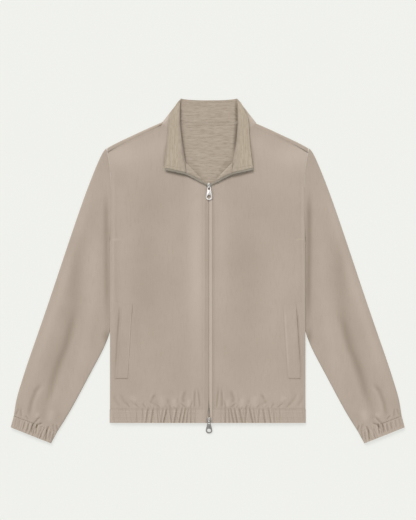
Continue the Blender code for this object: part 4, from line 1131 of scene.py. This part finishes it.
# %% Where the seams run
# each line in mm for the wearer's left
SEAMS = {
    "hem_topstitch": [(14, -312.2), (222.4, -312.2)],
    "hem_elastic_upper": [(22, -322.5), (221.5, -322.5)],
    "hem_elastic_lower": [(22, -333.5), (221.5, -333.5)],
    "shoulder_topstitch": [(106, 327.5), (135, 313.6), (174, 295), (212, 277), (222, 270)],
    "lip_topstitch": [(15.6, -340), (15.6, 150), (15.2, 176)],
    "pocket_mouth": [(197.6, -78), (208.6, -241)],
    "pocket_bottom": [(184, -245.5), (214, -245)],
    "pocket_top": [(199, -72), (214, -68)],
    "flap_edge": [(103.2, 238), (101.4, 251), (99.2, 267), (97.0, 284), (95.8, 300),
                  (94.6, 318), (93.6, 334), (90.6, 351), (82.6, 368)],
    "flap_front": [(99, 239.4), (80, 236.4), (62, 233)],
    "neck_seam": [(6, 330.2), (57, 330.2)],
    "neck_seam_upper": [(6, 338.6), (56, 338.6)],
    "collar_top": [(3, 382.6), (30, 383.2), (57, 385.0)],
}
JERSEY_SEAMS = ("flap_edge", "flap_front", "neck_seam", "neck_seam_upper", "collar_top")
# seen from underneath, and mirrored about the middle
BACK_SEAMS = {
    "hem_back_topstitch": [(0, -311.5), (222, -311.5)],
    "back_neck_topstitch": [(0, 330), (80, 330)],
}
for name, points in SEAMS.items():
    places = stitch_places(points) + stitch_places([(MIRROR - x, y) for x, y in points])
    copies("stitches_" + name, stitch, places, jersey_thread if name in JERSEY_SEAMS else thread)
for name, points in BACK_SEAMS.items():
    places = stitch_places(points, UP) + stitch_places([(-x, y) for x, y in points], UP)
    copies("stitches_" + name, stitch, places, thread)

# %% [markdown]
# ## Zip teeth
# The zip is a fine moulded-tooth chain. Below the top slider the teeth mesh under the cloth's
# folded edges and show only at the hem, where the edges part. Above it each row of teeth follows
# its own half of the tape round the opening. A tooth is a plain block, since no more of it shows.

# %% One tooth
TOOTH = (1.9, 0.95, 1.1)       # mm, along its own tape's width, along the chain, high

bpy.ops.mesh.primitive_cube_add(size=1.0, scale=[v * MM for v in TOOTH])
tooth = bpy.context.object
bpy.ops.object.transform_apply(scale=True)
print("tooth", *TOOTH, "mm")

# %% Teeth along the closed chain
CHAIN_PITCH = 2.3              # mm between two teeth of one side
CHAIN_ENDS = (14, 9)           # mm at the bottom and the top that the sliders cover
TOOTH_OUT, TOOTH_UP = 0.75, 0.15

low, high = [np.array(corner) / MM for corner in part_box("zip_chain")]
chain_centre = (low[0] + high[0]) / 2
places = []
for y in np.arange(low[1] + CHAIN_ENDS[0], high[1] - CHAIN_ENDS[1], CHAIN_PITCH):
    for side in (1, -1):
        half_on = CHAIN_PITCH / 2 if side > 0 else 0     # the two sides mesh
        where = Vector((chain_centre + side * TOOTH_OUT, y + half_on, high[2] + TOOTH_UP)) * MM
        turn = Matrix.Rotation(0.0 if side < 0 else math.pi, 4, "Z")
        places.append(Matrix.Translation(where) @ turn)
copies("zip_teeth_closed", tooth, places, teeth_finish)

# %% Teeth along the open tapes
EDGE_SAMPLES = 24
TOOTH_IN, TOOTH_SUNK = 1.0, 0.2            # mm in from the tape's edge, and into it


def edge_line(node, side):
    """The lower edge of an open tape, from its points, ordered outwards from the zip."""
    points = points_of(cloth[node])
    top = points[points[:, 2] > np.quantile(points[:, 2], 0.02)]
    out = (top[:, 0] - chain_centre) * side
    marks = np.linspace(out.min() + 1.0, out.max() - 1.0, EDGE_SAMPLES)
    line = []
    for near, far in zip(marks[:-1], marks[1:]):
        here = top[(out >= near) & (out < far)]
        if len(here):
            line.append(((near + far) / 2, here[:, 1].min()))
    return line


for name, side in (("left", 1), ("right", -1)):
    line = [(chain_centre + side * out, y + TOOTH_IN)
            for out, y in edge_line("zip_tape_" + name, side)]
    places = []
    for (x, y), run in zip(*spaced(line, CHAIN_PITCH)):
        spot, _ = surface_at(x, y)
        if spot is None:
            continue
        ahead = Vector((*run, 0.0)).normalized()
        outward = Vector((ahead.y, -ahead.x, 0.0)) * side
        turn = Matrix((outward, ahead * side, Vector((0, 0, 1)))).transposed().to_4x4()
        places.append(Matrix.Translation(Vector(spot - (0, 0, TOOTH_SUNK)) * MM) @ turn)
    copies("zip_teeth_open_" + name, tooth, places, teeth_finish)
for spare in (stitch, tooth):
    bpy.data.objects.remove(spare)

# %% [markdown]
# ## Sliders and pulls
# They are cast in zinc and tumbled before they are plated, so every edge is a little round and
# draws a thin dark or bright line. Each is a welded copy of its solid with a narrow bevel. The
# pulls ride on their own bodies, because they swing on their sliders.

# %% Sliders and pulls
METAL_WELD = 0.005 * MM
EDGE_ROUND, EDGE_SEGMENTS = 0.35 * MM, 2
EDGE_ANGLE, METAL_SHARP = math.radians(40), math.radians(35)
METAL = {
    # node: body, finish
    "slider_top": ("jacket", dull_nickel), "pull_top": ("pull_top", nickel),
    "slider_bottom": ("jacket", dull_nickel), "pull_bottom": ("pull_bottom", dull_nickel),
}
for node, (body, metal) in METAL.items():
    mesh = bpy.data.meshes.new(node + "_cast")
    work = welded(node, METAL_WELD)
    work.to_mesh(mesh)
    work.free()
    cast = new_object(mesh.name, mesh)
    rounded = cast.modifiers.new("edges", "BEVEL")
    rounded.width, rounded.segments = EDGE_ROUND, EDGE_SEGMENTS
    rounded.limit_method, rounded.angle_limit = "ANGLE", EDGE_ANGLE
    rounded.harden_normals = True
    mesh.shade_smooth()
    mesh.set_sharp_from_angle(angle=METAL_SHARP)
    apply_modifiers(cast)
    mesh.materials.clear()
    mesh.materials.append(metal)
    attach(cast, body)
    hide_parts(node)
    print(cast.name, len(mesh.polygons), "faces")

# %% [markdown]
# ## What each piece was cut from
# Cloth hardly stretches, so each piece is listed with the size of flat cloth that shows. Half
# of a thin shell's surface is its cloth's area, and no more of it can show than was cut.

# %% Sheets
# node: width and length of the cut in mm, how it lies, what it lies on
CUTS = {
    "back": (520, 700, "laid", "floor"),
    "front_*": (275, 640, "laid", "back_cloth"),
    "sleeve_*": (300, 560, "laid", "floor"),
    "cuff_*": (215, 45, "gathered", "floor"),
    "hem_back": (450, 31, "gathered", "floor"),
    "hem_front_*": (250, 31, "gathered", "hem_back_cloth"),
    "zip_lip_*": (11, 530, "folded", "front_*_cloth"),
    "pocket_welt_*": (30, 170, "laid", "front_*_cloth"),
    "collar_outer": (460, 60, "folded", "back_cloth"),
    "collar_inner": (460, 60, "folded", "back_lining_cloth"),
    "lapel_*": (45, 30, "folded", "front_*_cloth"),
    "back_lining": (190, 205, "laid", "back_cloth"),
    "zip_chain": (22, 530, "laid", "back_cloth"),
    "zip_tape_*": (14, 110, "folded", "lapel_*_cloth"),
}
for node, side, (width, length, held, under) in both_sides(CUTS):
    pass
